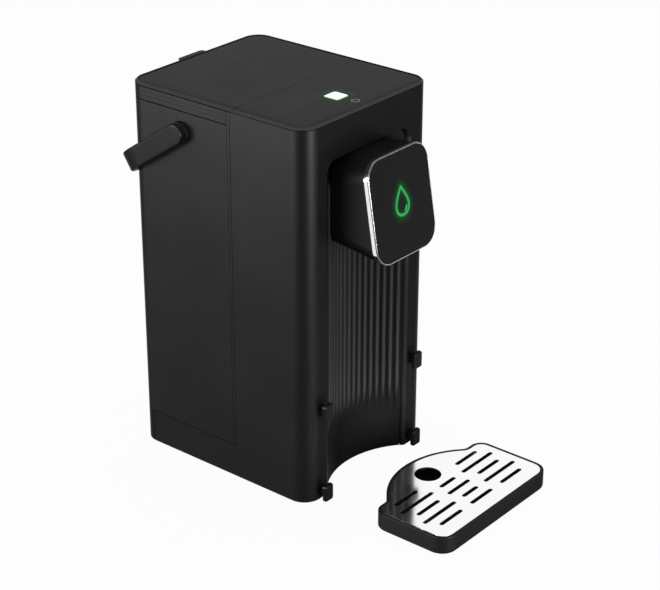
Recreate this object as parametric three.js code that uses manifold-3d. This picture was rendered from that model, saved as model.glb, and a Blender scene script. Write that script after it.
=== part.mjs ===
// Instant hot water dispenser: a slim tower with a tilted dispensing head, a lift-off water tank
// with a carry handle behind it, and a loose drip tray that hooks on in front.
// Millimetres, +Z up, the front faces -Y, the origin is the middle of the base's underside.

import * as THREE from 'three';
import { mergeVertices } from 'three/addons/utils/BufferGeometryUtils.js';
import Module from 'manifold-3d';

const wasm = await Module();
wasm.setup();

// Whole body
const bodyWidth = 150;
const bodyDepth = 178;
const bodyHeight = 312.5;
const bodyCorner = 15;
const wall = 2.8;
const gap = 0.3;
const seam = 0.6;
const overrun = 4;
const weld = 0.0001;
const tinyFlat = 0.03;

// Tower, foot and the flat base
const towerDepth = 73;
const footHeight = 27.8;
const grooveHeight = 0.5;
const topThickness = 2.3;
const topChamfer = 1.4;
const topChamferDrop = 1.1;
const coverThickness = 2.4;
const deckThickness = 2.4;

// Concave channel in the front
const channelInset = 2.5;
const mouthInset = 25;
const recessDrop = 32;
const recessCorner = 10;
const splashThickness = 2.5;
const ribCount = 17;
const ribEdgeAngle = 0.15;
const ribHeight = 1.2;
const ribFadeTop = 78;
const ribFadeBottom = 54;
const ribShares = [-0.5, -0.22, 0, 0.22];
const ribRiseShares = [0, 0.75, 1, 0.75];
const flangeInset = 22.5;
const flangeFloor = 6;
const roofThickness = 2.2;
const windowHalfWidth = 28;
const windowBottomDrop = 90.5;
const windowTopDrop = 44.5;

// Dispensing head
const plateWidth = 71.2;
const plateHeight = 81;
const plateCorner = 15.6;
const plateTilt = 9.5;
const plateAhead = 31.4;
const headTopGap = 0.75;
const bezelDepth = 3.2;
const bezelRim = 1.7;
const bezelLedge = 1.8;
const ledgeDepth = 1;
const glassInset = 0.2;
const headInset = 0.6;
const headWall = 2.2;
const headUndercut = 13.4;
const headRun = 66;
const webThickness = 2.5;
const neckWall = 2.2;
const neckReach = 9;

// Spout
const spoutAhead = 16;
const spoutRadius = 5;
const spoutFlange = 8.5;
const spoutFlangeThickness = 2;
const spoutDrop = 9;
const spoutBore = 2.2;
const spoutBossHeight = 5.5;
const hoseBore = 3.5;
const hoseRadius = 5;
const barbLength = 7;
const barbRadius = 2.8;
const barbShares = [0, 0.5, 1, 1.5];

// Tray hooks
const hookInset = 18.4;
const hookLow = 7.2;
const hookHigh = 78.5;
const hookHeadWidth = 7;
const hookHeadHeight = 14.3;
const hookHeadThickness = 3.6;
const hookHeadCorner = 2;
const hookStemWidth = 3.6;
const hookStemHeight = 9;
const hookStemLength = 4.4;
const hookNutThickness = 2;
const hookNutHalf = 2.6;
const hookNutGap = 1.2;

// Top cover, button and control board
const lipOverlap = 9.2;
const shelfDrop = 2.8;
const skirtDepth = 4;
const skirtThickness = 1.8;
const buttonSize = 14.5;
const buttonCorner = 2.6;
const buttonX = -3;
const buttonBack = 30.5;
const buttonFlange = 1.9;
const buttonFlangeThickness = 1.5;
const buttonTravel = 1;
const buttonStem = 2.4;
const buttonStemLength = 1.2;
const boardThickness = 1.6;
const controlWidth = 56;
const controlDepth = 34;
const controlShift = 6;
const controlPostRadius = 3;
const controlPostInset = 4.5;
const controlPostLength = 8.9;
const switchSize = 6.2;
const switchHeight = 3.6;
const switchTipRadius = 1.7;

// Water tank and its lid
const tankWall = 2.6;
const tankFloor = 3;
const tankEdge = 1.6;
const tankStrip = 2.6;
const bandHeight = 16.5;
const outletBack = 30;
const outletRadius = 13.7;
const outletBore = 11;
const outletDrop = 10;
const seatThickness = 2;
const seatBore = 6;
const seatAboveMouth = 4.5;
const plugWall = 6.4;
const plugDepth = 6;
const lidDeck = 2.4;
const sealSize = 1;
const sealHeight = 2;
const tabWidth = 29;
const tabReach = 5;
const tabThickness = 3;
const tabDrop = 0.9;
const tabCorner = 3;

// Valve in the tank's outlet
const valveLift = 3;
const valveHeadRadius = 8.5;
const valveHeadThickness = 2;
const valveStemRadius = 2.2;
const valveSealThickness = 1.2;
const valveSealRadius = 7.6;
const springRadius = 5.2;
const springWire = 0.5;
const springTurns = 5;
const strainerRadius = 15.5;
const strainerHeight = 20;
const strainerWall = 1.8;
const strainerSlots = 10;
const strainerSlotWidth = 3;

// Socket under the tank's outlet
const socketWall = 2.2;
const socketFloor = 2.4;
const socketDepth = 14.5;
const socketFlange = 3.2;
const pinRadius = 2.4;
const oringWire = 1.6;
const oringSeatDepth = 3.4;

// Carry handle
const pivotDrop = 30;
const handleDrop = 34;
const handleReach = 82;
const handleWidth = 16.4;
const handleThickness = 5;
const handleProud = 9;
const handleBend = 33;
const handleEndCorner = 2.5;
const handleClearance = 3.95;
const pivotFlange = 9;
const pivotPin = 4;
const pivotSpigot = 3;
const pivotSpigotLength = 4.6;
const pivotBoreDepth = 3.3;
const pivotPad = 7.2;
const pivotPadThickness = 7;

// Drip tray, standing in front of the machine
const trayX = 6;
const trayAhead = 56.3;
const trayInset = 5;
const trayNest = 3.6;
const trayDepth = 69.5;
const trayHeight = 15.4;
const trayWall = 2.2;
const trayFloor = 2;
const trayRearCorner = 10.5;
const trayFrontCorner = 13.5;
const trayFillet = 8;
const trayClearance = 1.5;
const rebateWidth = 1.4;
const rebateDepth = 1.5;
const keySlotWidth = 4.8;
const keyClearance = 0.8;
const grilleThickness = 1.2;
const drainRadius = 10.75;
const drainBehindArc = 22.5;
const slotWidth = 2.7;
const slotPitch = 10.8;
const slotRowStart = 9;
const trayRibHeight = 10.5;
const trayRibThickness = 1.6;

// Feet and screws
const footRadius = 9;
const footProud = 1.5;
const footPocket = 1.2;
const frontFootSide = 19;
const frontFootInset = 17;
const rearFootSide = 21;
const rearFootInset = 23;
const bossRadius = 4.4;
const bossBore = 1.7;
const frontBossSide = 10;
const frontBossInset = 39;
const rearBossSide = 51;
const rearBossInset = 15;
const bossHeight = 20;
const screwRadius = 1.4;
const screwHeadRadius = 3.2;
const screwHeadDepth = 1.1;
const screwLength = 14;

// Shares of a piece's own size that place its smaller features
const footLipShare = 0.3;
const driveShare = 0.35;
const driveWidthShare = 0.3;
const noseShare = 0.25;
const hookBevelShare = 0.25;
const chipStartShare = 0.2;
const chipEndShare = 0.33;
const padShare = 0.33;
const plugShare = 0.2;
const transformerShares = [0.12, 0.5, 0.12, 0.4];
const relayShares = [0.6, 0.85, 0.12, 0.33];
const capacitorShares = [0.58, 0.78];
const capacitorSideShare = 0.3;
const slotColumnShare = 0.2836;
const slotLongShare = 0.2893;
const slotMediumShare = 0.1979;
const slotShortShare = 0.1386;
const capacitorRadius = 5.5;
const tallPartHeight = 14;
const relayHeight = 11;

// Pump, heater, boards and the cable inlet
const pumpSide = 39;
const pumpBehindSeam = 27;
const pumpRadius = 15.5;
const pumpMotorRadius = 12.5;
const pumpHeadHeight = 20;
const pumpHeight = 58;
const padHeight = 4;
const padRecess = 1.5;
const pumpPortHeight = 10;
const heaterX = 26;
const heaterBehindSeam = 23;
const heaterRadius = 13;
const heaterCapRadius = 14.5;
const heaterCapHeight = 10;
const heaterBottom = 84;
const heaterTopDrop = 122.5;
const clipThickness = 8;
const clipHalfWidth = 18;
const clipInset = 22;
const powerSide = 13;
const powerMiddleGap = 6;
const powerTopDrop = 120.5;
const powerBottom = 96;
const powerStandoff = 8;
const standoffRadius = 3;
const standoffInset = 5;
const glandSide = 35;
const glandHeight = 13.5;
const glandRadius = 6;
const glandFlange = 8;
const glandFlangeThickness = 1.8;
const glandBore = 3.4;
const glandNeck = 6;
const leadRadius = 3;
const leadBesidePump = 1;
const touchBoardInset = 9;
const touchBoardGap = 0.4;

// Arc steps: a quarter corner gets twice the number given
const cornerSteps = 3;
const smallSteps = 1;
const roundSides = 24;
const smallSides = 16;
const hoseSteps = 3;
const tinySides = 8;
const channelSides = 72;
const inletHoseSteps = 16;
const pumpHoseSteps = 18;
const spoutHoseSteps = 24;
const leadSteps = 20;
const wireSides = 4;
const footSides = 12;
const wireStepsPerTurn = 8;

// Places worked out from the sizes above
const halfWidth = bodyWidth / 2;
const front = -bodyDepth / 2;
const back = bodyDepth / 2;
const seamY = front + towerDepth;
const towerBack = seamY - seam / 2;
const tankFront = seamY + seam / 2;
const topUnderside = bodyHeight - topThickness;
const towerTop = topUnderside - grooveHeight;
const channelRadius = halfWidth - channelInset;
const mouthHalf = halfWidth - mouthInset;
const channelAxisY = front - Math.sqrt(channelRadius ** 2 - mouthHalf ** 2);
const recessTop = bodyHeight - recessDrop;
const flangeReach = halfWidth - flangeInset;
const windowBottom = bodyHeight - windowBottomDrop;
const windowTop = bodyHeight - windowTopDrop;
const plateMiddle = recessTop - headTopGap - onPlateRise(plateHeight / 2 - headInset);
const hookSide = halfWidth - hookInset;
const splashBack = channelRadius + splashThickness;
const innerHalf = halfWidth - wall;
const bayHalf = innerHalf - gap;
const bayBack = back - wall - gap;
const deckTop = footHeight;
const deckUnderside = deckTop - deckThickness;
const panelFront = towerBack - deckThickness;
const tankBottom = deckTop + seam;
const tankTop = bodyHeight - bandHeight;
const outletMouth = tankBottom - outletDrop;
const seatTop = outletMouth + seatAboveMouth + seatThickness;
const trayShoulderY = front - trayAhead;
const trayBottom = -footProud;
const trayTop = trayBottom + trayHeight;
const trayArc = channelRadius - trayClearance;
const trayAxisY = trayShoulderY - (front - channelAxisY) + trayNest;
const drainY = trayAxisY + trayArc - drainBehindArc;
const spoutY = front - spoutAhead;
const topSeamY = seamY - lipOverlap;
const trayWidth = bodyWidth - 2 * trayInset;
const slotColumnPitch = trayWidth * slotColumnShare;
const slotLong = trayWidth * slotLongShare;
const slotMedium = trayWidth * slotMediumShare;
const slotShort = trayWidth * slotShortShare;
const frontFootX = halfWidth - frontFootSide;
const rearFootX = halfWidth - rearFootSide;
const frontBossX = halfWidth - frontBossSide;
const rearBossX = halfWidth - rearBossSide;
const pumpX = pumpSide - halfWidth;
const heaterTop = bodyHeight - heaterTopDrop;
const powerWidth = halfWidth - powerSide - powerMiddleGap;
const powerX = -powerMiddleGap - powerWidth / 2;
const powerHeight = bodyHeight - powerTopDrop - powerBottom;
const glandX = glandSide - halfWidth;
const pivotHeight = bodyHeight - pivotDrop;

// Finishes
function finish(color, roughness, metalness) {
  return new THREE.MeshStandardMaterial({ color, roughness, metalness });
}
const housingBlack = () => finish(0x2b2c2d, 0.45, 0);
const topBlack = () => finish(0x38393a, 0.42, 0);
const innerGrey = () => finish(0x4a4c4e, 0.6, 0);
const gloss = () => finish(0x141516, 0.12, 0);
const polished = () => finish(0xd8dadc, 0.12, 1);
const rubber = () => finish(0x161616, 0.85, 0);
const silicone = () => finish(0xd9d6cc, 0.5, 0);
const steel = () => finish(0x9da0a4, 0.35, 1);
const boardGreen = () => finish(0x1f5a3a, 0.55, 0);
const litGreen = () => finish(0xc9f5d2, 0.3, 0);

// Closed geometry to a solid, with its faces turned outwards
function solid(geometry) {
  const bare = geometry.index ? geometry.toNonIndexed() : geometry;
  for (const name of Object.keys(bare.attributes)) {
    if (name !== 'position') bare.deleteAttribute(name);
  }
  const merged = mergeVertices(bare, weld);
  const points = merged.attributes.position.array;
  const corners = [];
  let volume = 0;
  const a = new THREE.Vector3();
  const b = new THREE.Vector3();
  const c = new THREE.Vector3();
  for (let i = 0; i < merged.index.count; i += 3) {
    const [p, q, r] = [0, 1, 2].map((k) => merged.index.getX(i + k));
    if (p === q || q === r || r === p) continue;
    corners.push(p, q, r);
    a.fromArray(points, 3 * p);
    b.fromArray(points, 3 * q);
    c.fromArray(points, 3 * r);
    volume += a.dot(b.cross(c));
  }
  if (volume < 0) corners.reverse();
  const mesh = new wasm.Mesh({
    numProp: 3,
    vertProperties: new Float32Array(points),
    triVerts: new Uint32Array(corners),
  });
  return new wasm.Manifold(mesh);
}

// Solid to a named mesh of the model
function piece(name, shape, material) {
  const data = shape.getMesh();
  const geometry = new THREE.BufferGeometry();
  geometry.setAttribute('position', new THREE.BufferAttribute(data.vertProperties, 3));
  geometry.setIndex(new THREE.BufferAttribute(data.triVerts, 1));
  geometry.computeVertexNormals();
  const mesh = new THREE.Mesh(geometry, material);
  mesh.name = name;
  return mesh;
}

// Rounded rectangle; the radii go round from the low-low corner, anticlockwise
function roundedRect(u0, v0, u1, v1, radii) {
  const [a, b, c, d] = radii;
  const quarter = Math.PI / 2;
  const shape = new THREE.Shape();
  shape.moveTo(u0 + a, v0);
  shape.lineTo(u1 - b, v0);
  if (b > 0) shape.absarc(u1 - b, v0 + b, b, -quarter, 0, false);
  shape.lineTo(u1, v1 - c);
  if (c > 0) shape.absarc(u1 - c, v1 - c, c, 0, quarter, false);
  shape.lineTo(u0 + d, v1);
  if (d > 0) shape.absarc(u0 + d, v1 - d, d, quarter, 2 * quarter, false);
  shape.lineTo(u0, v0 + a);
  if (a > 0) shape.absarc(u0 + a, v0 + a, a, 2 * quarter, 3 * quarter, false);
  return shape;
}

// Plan outline about x = 0, with its own radius at the front and at the back
function plan(half, yFront, yBack, rFront, rBack) {
  return roundedRect(-half, yFront, half, yBack, [rFront, rFront, rBack, rBack]);
}

function circle(u, v, radius) {
  const shape = new THREE.Shape();
  shape.absarc(u, v, radius, 0, 2 * Math.PI, false);
  return shape;
}

// Extrusions along Z, Y and X, from one level to another
function extrude(shape, depth, steps) {
  return new THREE.ExtrudeGeometry(shape, { depth, bevelEnabled: false, curveSegments: steps });
}
function prismZ(shape, z0, z1, steps = cornerSteps) {
  return solid(extrude(shape, z1 - z0, steps).translate(0, 0, z0));
}
function prismY(shape, y0, y1, steps = cornerSteps) {
  return solid(extrude(shape, y1 - y0, steps).rotateX(Math.PI / 2).translate(0, y1, 0));
}
function prismX(shape, x0, x1, steps = cornerSteps) {
  const turn = new THREE.Matrix4().makeBasis(
    new THREE.Vector3(0, 1, 0),
    new THREE.Vector3(0, 0, 1),
    new THREE.Vector3(1, 0, 0),
  );
  return solid(extrude(shape, x1 - x0, steps).applyMatrix4(turn).translate(x0, 0, 0));
}
function block(x0, x1, y0, y1, z0, z1) {
  return prismZ(plan((x1 - x0) / 2, y0, y1, 0, 0), z0, z1).translate((x0 + x1) / 2, 0, 0);
}

// Round bars along Z, Y and X
function rodZ(x, y, radius, z0, z1, sides = smallSides) {
  const bar = new THREE.CylinderGeometry(radius, radius, z1 - z0, sides);
  return solid(bar.rotateX(Math.PI / 2).translate(x, y, (z0 + z1) / 2));
}
function rodY(x, z, radius, y0, y1, sides = smallSides) {
  const bar = new THREE.CylinderGeometry(radius, radius, y1 - y0, sides);
  return solid(bar.translate(x, (y0 + y1) / 2, z));
}
function rodX(y, z, radius, x0, x1, sides = smallSides) {
  const bar = new THREE.CylinderGeometry(radius, radius, x1 - x0, sides);
  return solid(bar.rotateZ(Math.PI / 2).translate((x0 + x1) / 2, y, z));
}

// Revolved profile of [radius, height] pairs round an upright axis
function turned(profile, x, y, sides = smallSides) {
  const points = profile.map(([radius, height]) => new THREE.Vector2(radius, height));
  return solid(new THREE.LatheGeometry(points, sides).rotateX(Math.PI / 2).translate(x, y, 0));
}

// Tube with a bore along a smooth curve through the given points
function hose(route, radius, bore, steps) {
  const ring = circle(0, 0, radius);
  if (bore > 0) {
    const hole = new THREE.Path();
    hole.absarc(0, 0, bore, 0, 2 * Math.PI, true);
    ring.holes.push(hole);
  }
  const path = new THREE.CatmullRomCurve3(route, false, 'centripetal');
  const settings = { steps, extrudePath: path, bevelEnabled: false, curveSegments: hoseSteps };
  return solid(new THREE.ExtrudeGeometry(ring, settings));
}

// Loft through outlines with equal point counts, each put in space by its own function
function loft(sections) {
  const count = sections[0].outline.length;
  const vertices = [];
  for (const { outline, place } of sections) {
    for (const point of outline) vertices.push(...place(point.x, point.y).toArray());
  }
  const triangles = [];
  for (let s = 0; s + 1 < sections.length; s += 1) {
    for (let i = 0; i < count; i += 1) {
      const j = (i + 1) % count;
      const a = s * count + i;
      const b = s * count + j;
      triangles.push(a, b, b + count, a, b + count, a + count);
    }
  }
  const cap = (section, offset, flip) => {
    const turn = THREE.ShapeUtils.area(section.outline) > 0;
    for (const [i, j, k] of THREE.ShapeUtils.triangulateShape(section.outline, [])) {
      const face = [section.outline[i], section.outline[j], section.outline[k]];
      const keep = (THREE.ShapeUtils.area(face) > 0) === turn;
      const order = keep !== flip ? [i, j, k] : [k, j, i];
      triangles.push(...order.map((n) => n + offset));
    }
  };
  cap(sections[0], 0, true);
  cap(sections[sections.length - 1], (sections.length - 1) * count, false);
  const geometry = new THREE.BufferGeometry();
  geometry.setAttribute('position', new THREE.Float32BufferAttribute(vertices, 3));
  geometry.setIndex(triangles);
  return solid(geometry);
}

// Corner points of a shape, without the repeated last one
function outlineOf(shape, steps = cornerSteps) {
  const points = shape.getPoints(steps);
  return points.filter((point, i) => point.distanceTo(points.at(i - 1)) > weld);
}

function add(first, ...others) {
  return others.reduce((sum, next) => sum.add(next), first);
}
function cut(first, ...others) {
  return others.reduce((rest, next) => rest.subtract(next), first);
}
function bothSides(make) {
  return [-1, 1].map((side) => make(side));
}

// Upright cylinder round the channel's axis
function channelCylinder(radius, z0, z1) {
  return rodZ(0, channelAxisY, radius, z0, z1, channelSides);
}

// Point on the head's tilted plate: across, up the plate, and depth behind its face
function onPlate(u, v, depth) {
  const tilt = THREE.MathUtils.degToRad(plateTilt);
  const y = front - plateAhead + v * Math.sin(tilt) + depth * Math.cos(tilt);
  const z = plateMiddle + v * Math.cos(tilt) - depth * Math.sin(tilt);
  return new THREE.Vector3(u, y, z);
}
function plateOutline(inset) {
  const u = plateWidth / 2 - inset;
  const v = plateHeight / 2 - inset;
  const r = Math.max(plateCorner - inset, gap);
  return roundedRect(-u, -v, u, v, [r, r, r, r]);
}
function plateSlab(inset, depth0, depth1) {
  const outline = outlineOf(plateOutline(inset));
  return loft([
    { outline, place: (u, v) => onPlate(u, v, depth1) },
    { outline, place: (u, v) => onPlate(u, v, depth0) },
  ]);
}

// Front housing: tower walls and foot walls in one moulding, open below and behind
function frontHousing() {
  const inner = bodyCorner - wall;
  const tower = prismZ(plan(halfWidth, front, towerBack, bodyCorner, 0), 0, towerTop);
  const foot = prismZ(plan(halfWidth, front, back, bodyCorner, bodyCorner), 0, footHeight);
  const towerRoom = prismZ(
    plan(innerHalf, front + wall, towerBack + overrun, inner, 0),
    -overrun,
    towerTop + overrun,
  );
  const footRoom = prismZ(
    plan(innerHalf, front + wall, back - wall, inner, inner),
    -overrun,
    footHeight + overrun,
  );
  const arch = prismY(
    roundedRect(-halfWidth, -overrun, halfWidth, recessTop, [0, 0, 0, 0]),
    front - overrun,
    front + wall + overrun,
  );
  const mouth = prismY(
    roundedRect(-mouthHalf, -overrun, mouthHalf, recessTop, [0, 0, recessCorner, recessCorner]),
    front - overrun,
    front + wall + overrun,
  );
  const channel = channelCylinder(channelRadius, -overrun, recessTop + overrun);
  let shell = cut(add(tower, foot), towerRoom, footRoom);
  shell = cut(shell, channel.intersect(mouth).intersect(arch));
  const bosses = bothSides((side) => {
    const x = side * frontBossX;
    const y = front + frontBossInset;
    const web = block(
      Math.min(x, side * (innerHalf + wall / 2)),
      Math.max(x, side * (innerHalf + wall / 2)),
      y - bossRadius / 2,
      y + bossRadius / 2,
      coverThickness + gap,
      coverThickness + gap + bossHeight,
    );
    const post = rodZ(x, y, bossRadius, coverThickness + gap, coverThickness + gap + bossHeight);
    return post.add(web);
  });
  const pilots = bothSides((side) => rodZ(
    side * frontBossX,
    front + frontBossInset,
    bossBore,
    0,
    coverThickness + bossHeight - wall,
    tinySides,
  ));
  const hookHoles = [hookLow, hookHigh].flatMap((z) => bothSides((side) => block(
    side * hookSide - hookStemWidth / 2 - gap,
    side * hookSide + hookStemWidth / 2 + gap,
    front - overrun,
    front + wall + overrun,
    z - hookStemHeight / 2 - gap,
    z + hookStemHeight / 2 + gap,
  )));
  const glandStart = back - wall - overrun;
  const glandHole = rodY(glandX, glandHeight, glandRadius + gap, glandStart, back + overrun);
  return cut(add(shell, ...bosses), ...pilots, ...hookHoles, glandHole);
}

// Bay panel: the upright wall behind the tower's works and the deck that the tank stands on
function tankBayPanel() {
  const inner = bodyCorner - wall - gap;
  const upright = block(-bayHalf, bayHalf, panelFront, towerBack, deckUnderside, towerTop - gap);
  const deck = prismZ(plan(bayHalf, panelFront, bayBack, 0, inner), deckUnderside, deckTop);
  const bosses = bothSides((side) => rodZ(
    side * rearBossX,
    back - rearBossInset,
    bossRadius,
    coverThickness + gap,
    deckUnderside + deckThickness / 2,
  ));
  const pilots = bothSides((side) => rodZ(
    side * rearBossX,
    back - rearBossInset,
    bossBore,
    0,
    coverThickness + bossHeight - wall,
    tinySides,
  ));
  const posts = [powerBottom + standoffInset, powerBottom + powerHeight - standoffInset].flatMap(
    (z) => bothSides((side) => rodY(
      powerX + side * (powerWidth / 2 - standoffInset),
      z,
      standoffRadius,
      panelFront - powerStandoff,
      panelFront + deckThickness / 2,
    )),
  );
  const socketHole = rodZ(
    0,
    outletBack,
    outletRadius + gap + socketWall + gap,
    deckUnderside - overrun,
    deckTop + overrun,
    roundSides,
  );
  return cut(add(upright, deck, ...bosses, ...posts), ...pilots, socketHole);
}

// Base cover with pockets for the feet and countersinks for the screws
function footPlaces() {
  const places = [];
  for (const side of [-1, 1]) {
    places.push([side * frontFootX, front + frontFootInset, 'front', side]);
    places.push([side * rearFootX, back - rearFootInset, 'rear', side]);
  }
  return places;
}
function screwPlaces() {
  const places = [];
  for (const side of [-1, 1]) {
    places.push([side * frontBossX, front + frontBossInset, 'front', side]);
    places.push([side * rearBossX, back - rearBossInset, 'rear', side]);
  }
  return places;
}
function baseCover() {
  const inner = bodyCorner - wall - gap;
  const plate = prismZ(plan(bayHalf, front + wall + gap, bayBack, inner, inner), 0, coverThickness);
  const channel = channelCylinder(splashBack + gap, -overrun, coverThickness + overrun);
  const pockets = footPlaces().map(([x, y]) => rodZ(x, y, footRadius + gap, -overrun, footPocket));
  const sinks = screwPlaces().map(([x, y]) => add(
    rodZ(x, y, screwHeadRadius + gap, -overrun, screwHeadDepth + gap, tinySides),
    rodZ(x, y, screwRadius + gap, -overrun, coverThickness + overrun, tinySides),
  ));
  return cut(plate, channel, ...pockets, ...sinks);
}
function rubberFoot(x, y) {
  const lip = footProud * footLipShare;
  return turned([
    [0, -footProud],
    [footRadius - lip, -footProud],
    [footRadius, -footProud + lip],
    [footRadius, footPocket - gap],
    [0, footPocket - gap],
  ], x, y, footSides);
}
function baseScrew(x, y) {
  const drive = screwHeadRadius * driveShare;
  const slot = drive * driveWidthShare;
  return cut(
    turned([
      [0, gap / 2],
      [screwHeadRadius, gap / 2],
      [screwHeadRadius, screwHeadDepth],
      [screwRadius, screwHeadDepth],
      [screwRadius, screwLength - screwRadius],
      [0, screwLength],
    ], x, y, tinySides),
    block(x - drive, x + drive, y - slot, y + slot, -overrun, screwHeadDepth / 2),
    block(x - slot, x + slot, y - drive, y + drive, -overrun, screwHeadDepth / 2),
  );
}

// Splash panel: concave wall whose upright ribs fade out above its plain foot
function splashPanel() {
  const edge = front + wall + gap;
  const reach = edge - channelAxisY;
  const frontEnd = Math.acos(reach / channelRadius);
  const backEnd = Math.acos(reach / splashBack);
  const pitch = (2 * (frontEnd - THREE.MathUtils.degToRad(ribEdgeAngle))) / ribCount;
  const face = (rise) => {
    const points = [new THREE.Vector2(frontEnd, channelRadius)];
    for (let i = (ribCount - 1) / 2; i >= -(ribCount - 1) / 2; i -= 1) {
      for (let k = ribShares.length - 1; k >= 0; k -= 1) {
        const angle = (i + ribShares[k]) * pitch;
        points.push(new THREE.Vector2(angle, channelRadius - rise * ribHeight * ribRiseShares[k]));
      }
    }
    points.push(new THREE.Vector2(-frontEnd, channelRadius));
    for (let i = 0; i <= smallSides; i += 1) {
      points.push(new THREE.Vector2(backEnd * ((2 * i) / smallSides - 1), splashBack));
    }
    return points.map((point) => new THREE.Vector2(
      point.y * Math.sin(point.x),
      channelAxisY + point.y * Math.cos(point.x),
    ));
  };
  const roof = recessTop + gap + roofThickness;
  const levels = [[gap, 0], [ribFadeBottom, 0], [ribFadeTop, 1], [roof, 1]];
  const curved = loft(levels.map(([z, rise]) => ({
    outline: face(rise),
    place: (x, y) => new THREE.Vector3(x, y, z),
  })));
  const lid = channelCylinder(splashBack - splashThickness / 2, recessTop + gap, roof).intersect(
    block(-halfWidth, halfWidth, edge, 0, recessTop, roof + overrun),
  );
  const flangeStart = (flangeReach + channelRadius * Math.sin(backEnd)) / 2 - splashThickness / 2;
  const flanges = bothSides((side) => block(
    Math.min(side * flangeStart, side * flangeReach),
    Math.max(side * flangeStart, side * flangeReach),
    edge,
    edge + splashThickness,
    flangeFloor,
    roof,
  ));
  const window = block(-windowHalfWidth, windowHalfWidth, front, 0, windowBottom, windowTop);
  return cut(add(curved, lid, ...flanges), window);
}

// Head shell: lofted back from the tilted plate to the concave wall, with an open front
function headForm(inset, start, run) {
  const rearY = front - plateAhead + headRun;
  const slope = Math.tan(THREE.MathUtils.degToRad(headUndercut));
  const flat = outlineOf(plateOutline(headInset + inset));
  const top = plateMiddle + onPlateRise(plateHeight / 2 - headInset) - inset;
  const low = plateMiddle + onPlateRise(-(plateHeight / 2 - headInset)) + inset;
  const rearLow = low + slope * headRun;
  const half = plateWidth / 2 - headInset - inset;
  const r = Math.max(plateCorner - headInset - inset, gap);
  const rear = outlineOf(roundedRect(-half, rearLow, half, top, [r, r, r, r]));
  const ends = [
    flat.map((point) => onPlate(point.x, point.y, start)),
    rear.map((point) => new THREE.Vector3(point.x, rearY, point.y)),
  ];
  const at = (share) => flat.map((point, i) => ends[0][i].clone().lerp(ends[1][i], share));
  const section = (points) => ({
    outline: points.map((point) => new THREE.Vector2(point.x, point.z)),
    place: null,
    points,
  });
  const sections = [section(at(0)), section(at(run))];
  for (const item of sections) {
    let index = 0;
    item.place = () => {
      const point = item.points[index % item.points.length];
      index += 1;
      return point;
    };
  }
  return loft(sections);
}
function onPlateRise(v) {
  return v * Math.cos(THREE.MathUtils.degToRad(plateTilt));
}
function spoutFloor() {
  const lowEdge = onPlate(0, -(plateHeight / 2 - headInset), 0);
  return lowEdge.z + (spoutY - lowEdge.y) * Math.tan(THREE.MathUtils.degToRad(headUndercut));
}
function headShell() {
  const start = bezelDepth + gap;
  const outer = headForm(0, start, 1);
  const inner = headForm(headWall, start - overrun, 1 + headWall / headRun);
  const rootRadius = channelRadius - ribHeight - gap;
  const root = channelCylinder(rootRadius, 0, bodyHeight);
  const beforeWeb = channelCylinder(rootRadius - webThickness, 0, bodyHeight);
  const web = cut(headForm(headWall / 2, start, 1).intersect(root), beforeWeb);
  const neckHalf = windowHalfWidth - gap;
  const neckLow = windowBottom + gap;
  const neckHigh = windowTop - gap;
  const neckFront = channelAxisY + rootRadius - webThickness;
  const neckBack = channelAxisY + splashBack + neckReach;
  const sideReach = Math.sqrt(rootRadius ** 2 - neckHalf ** 2);
  const neckStart = channelAxisY + sideReach - webThickness;
  const neckEdge = Math.min(neckStart, neckFront);
  const neck = block(-neckHalf, neckHalf, neckEdge, neckBack, neckLow, neckHigh);
  const passage = block(
    -neckHalf + neckWall,
    neckHalf - neckWall,
    neckStart - overrun,
    neckBack + overrun,
    neckLow + neckWall,
    neckHigh - neckWall,
  );
  const bossTop = spoutFloor() + spoutBossHeight;
  const boss = rodZ(0, spoutY, spoutFlange, spoutFloor() + headWall / 2, bossTop);
  const bore = rodZ(0, spoutY, spoutRadius + gap, 0, bossTop + overrun);
  const shell = cut(outer.intersect(root), inner);
  const frontGuard = plateSlab(-overrun, -overrun, start);
  return cut(add(shell, cut(web, frontGuard), neck, boss), passage, bore);
}

// Polished bezel with a ledge that the glass rests on
function headBezel() {
  return cut(
    plateSlab(0, 0, bezelDepth),
    plateSlab(bezelRim, -overrun, bezelDepth - ledgeDepth),
    plateSlab(bezelRim + bezelLedge, -overrun, bezelDepth + overrun),
  );
}
function headGlass() {
  return plateSlab(bezelRim + gap, glassInset, bezelDepth - ledgeDepth - gap);
}
function touchBoard() {
  const start = bezelDepth + touchBoardGap;
  const slab = (half, rise, depth0, depth1) => {
    const outline = outlineOf(roundedRect(-half, -rise, half, rise, [0, 0, 0, 0]));
    return loft([
      { outline, place: (u, v) => onPlate(u, v, depth1) },
      { outline, place: (u, v) => onPlate(u, v, depth0) },
    ]);
  };
  const half = plateWidth / 2 - touchBoardInset;
  const rise = plateHeight / 2 - touchBoardInset;
  const middle = start + boardThickness / 2;
  const board = slab(half, rise, start, start + boardThickness);
  const pad = slab(half * padShare, rise * padShare, bezelDepth - ledgeDepth, middle);
  const socketDepth0 = start + 3 * boardThickness;
  const socket = slab(half * plugShare, rise * plugShare, middle, socketDepth0);
  return add(board, pad, socket);
}

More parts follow.
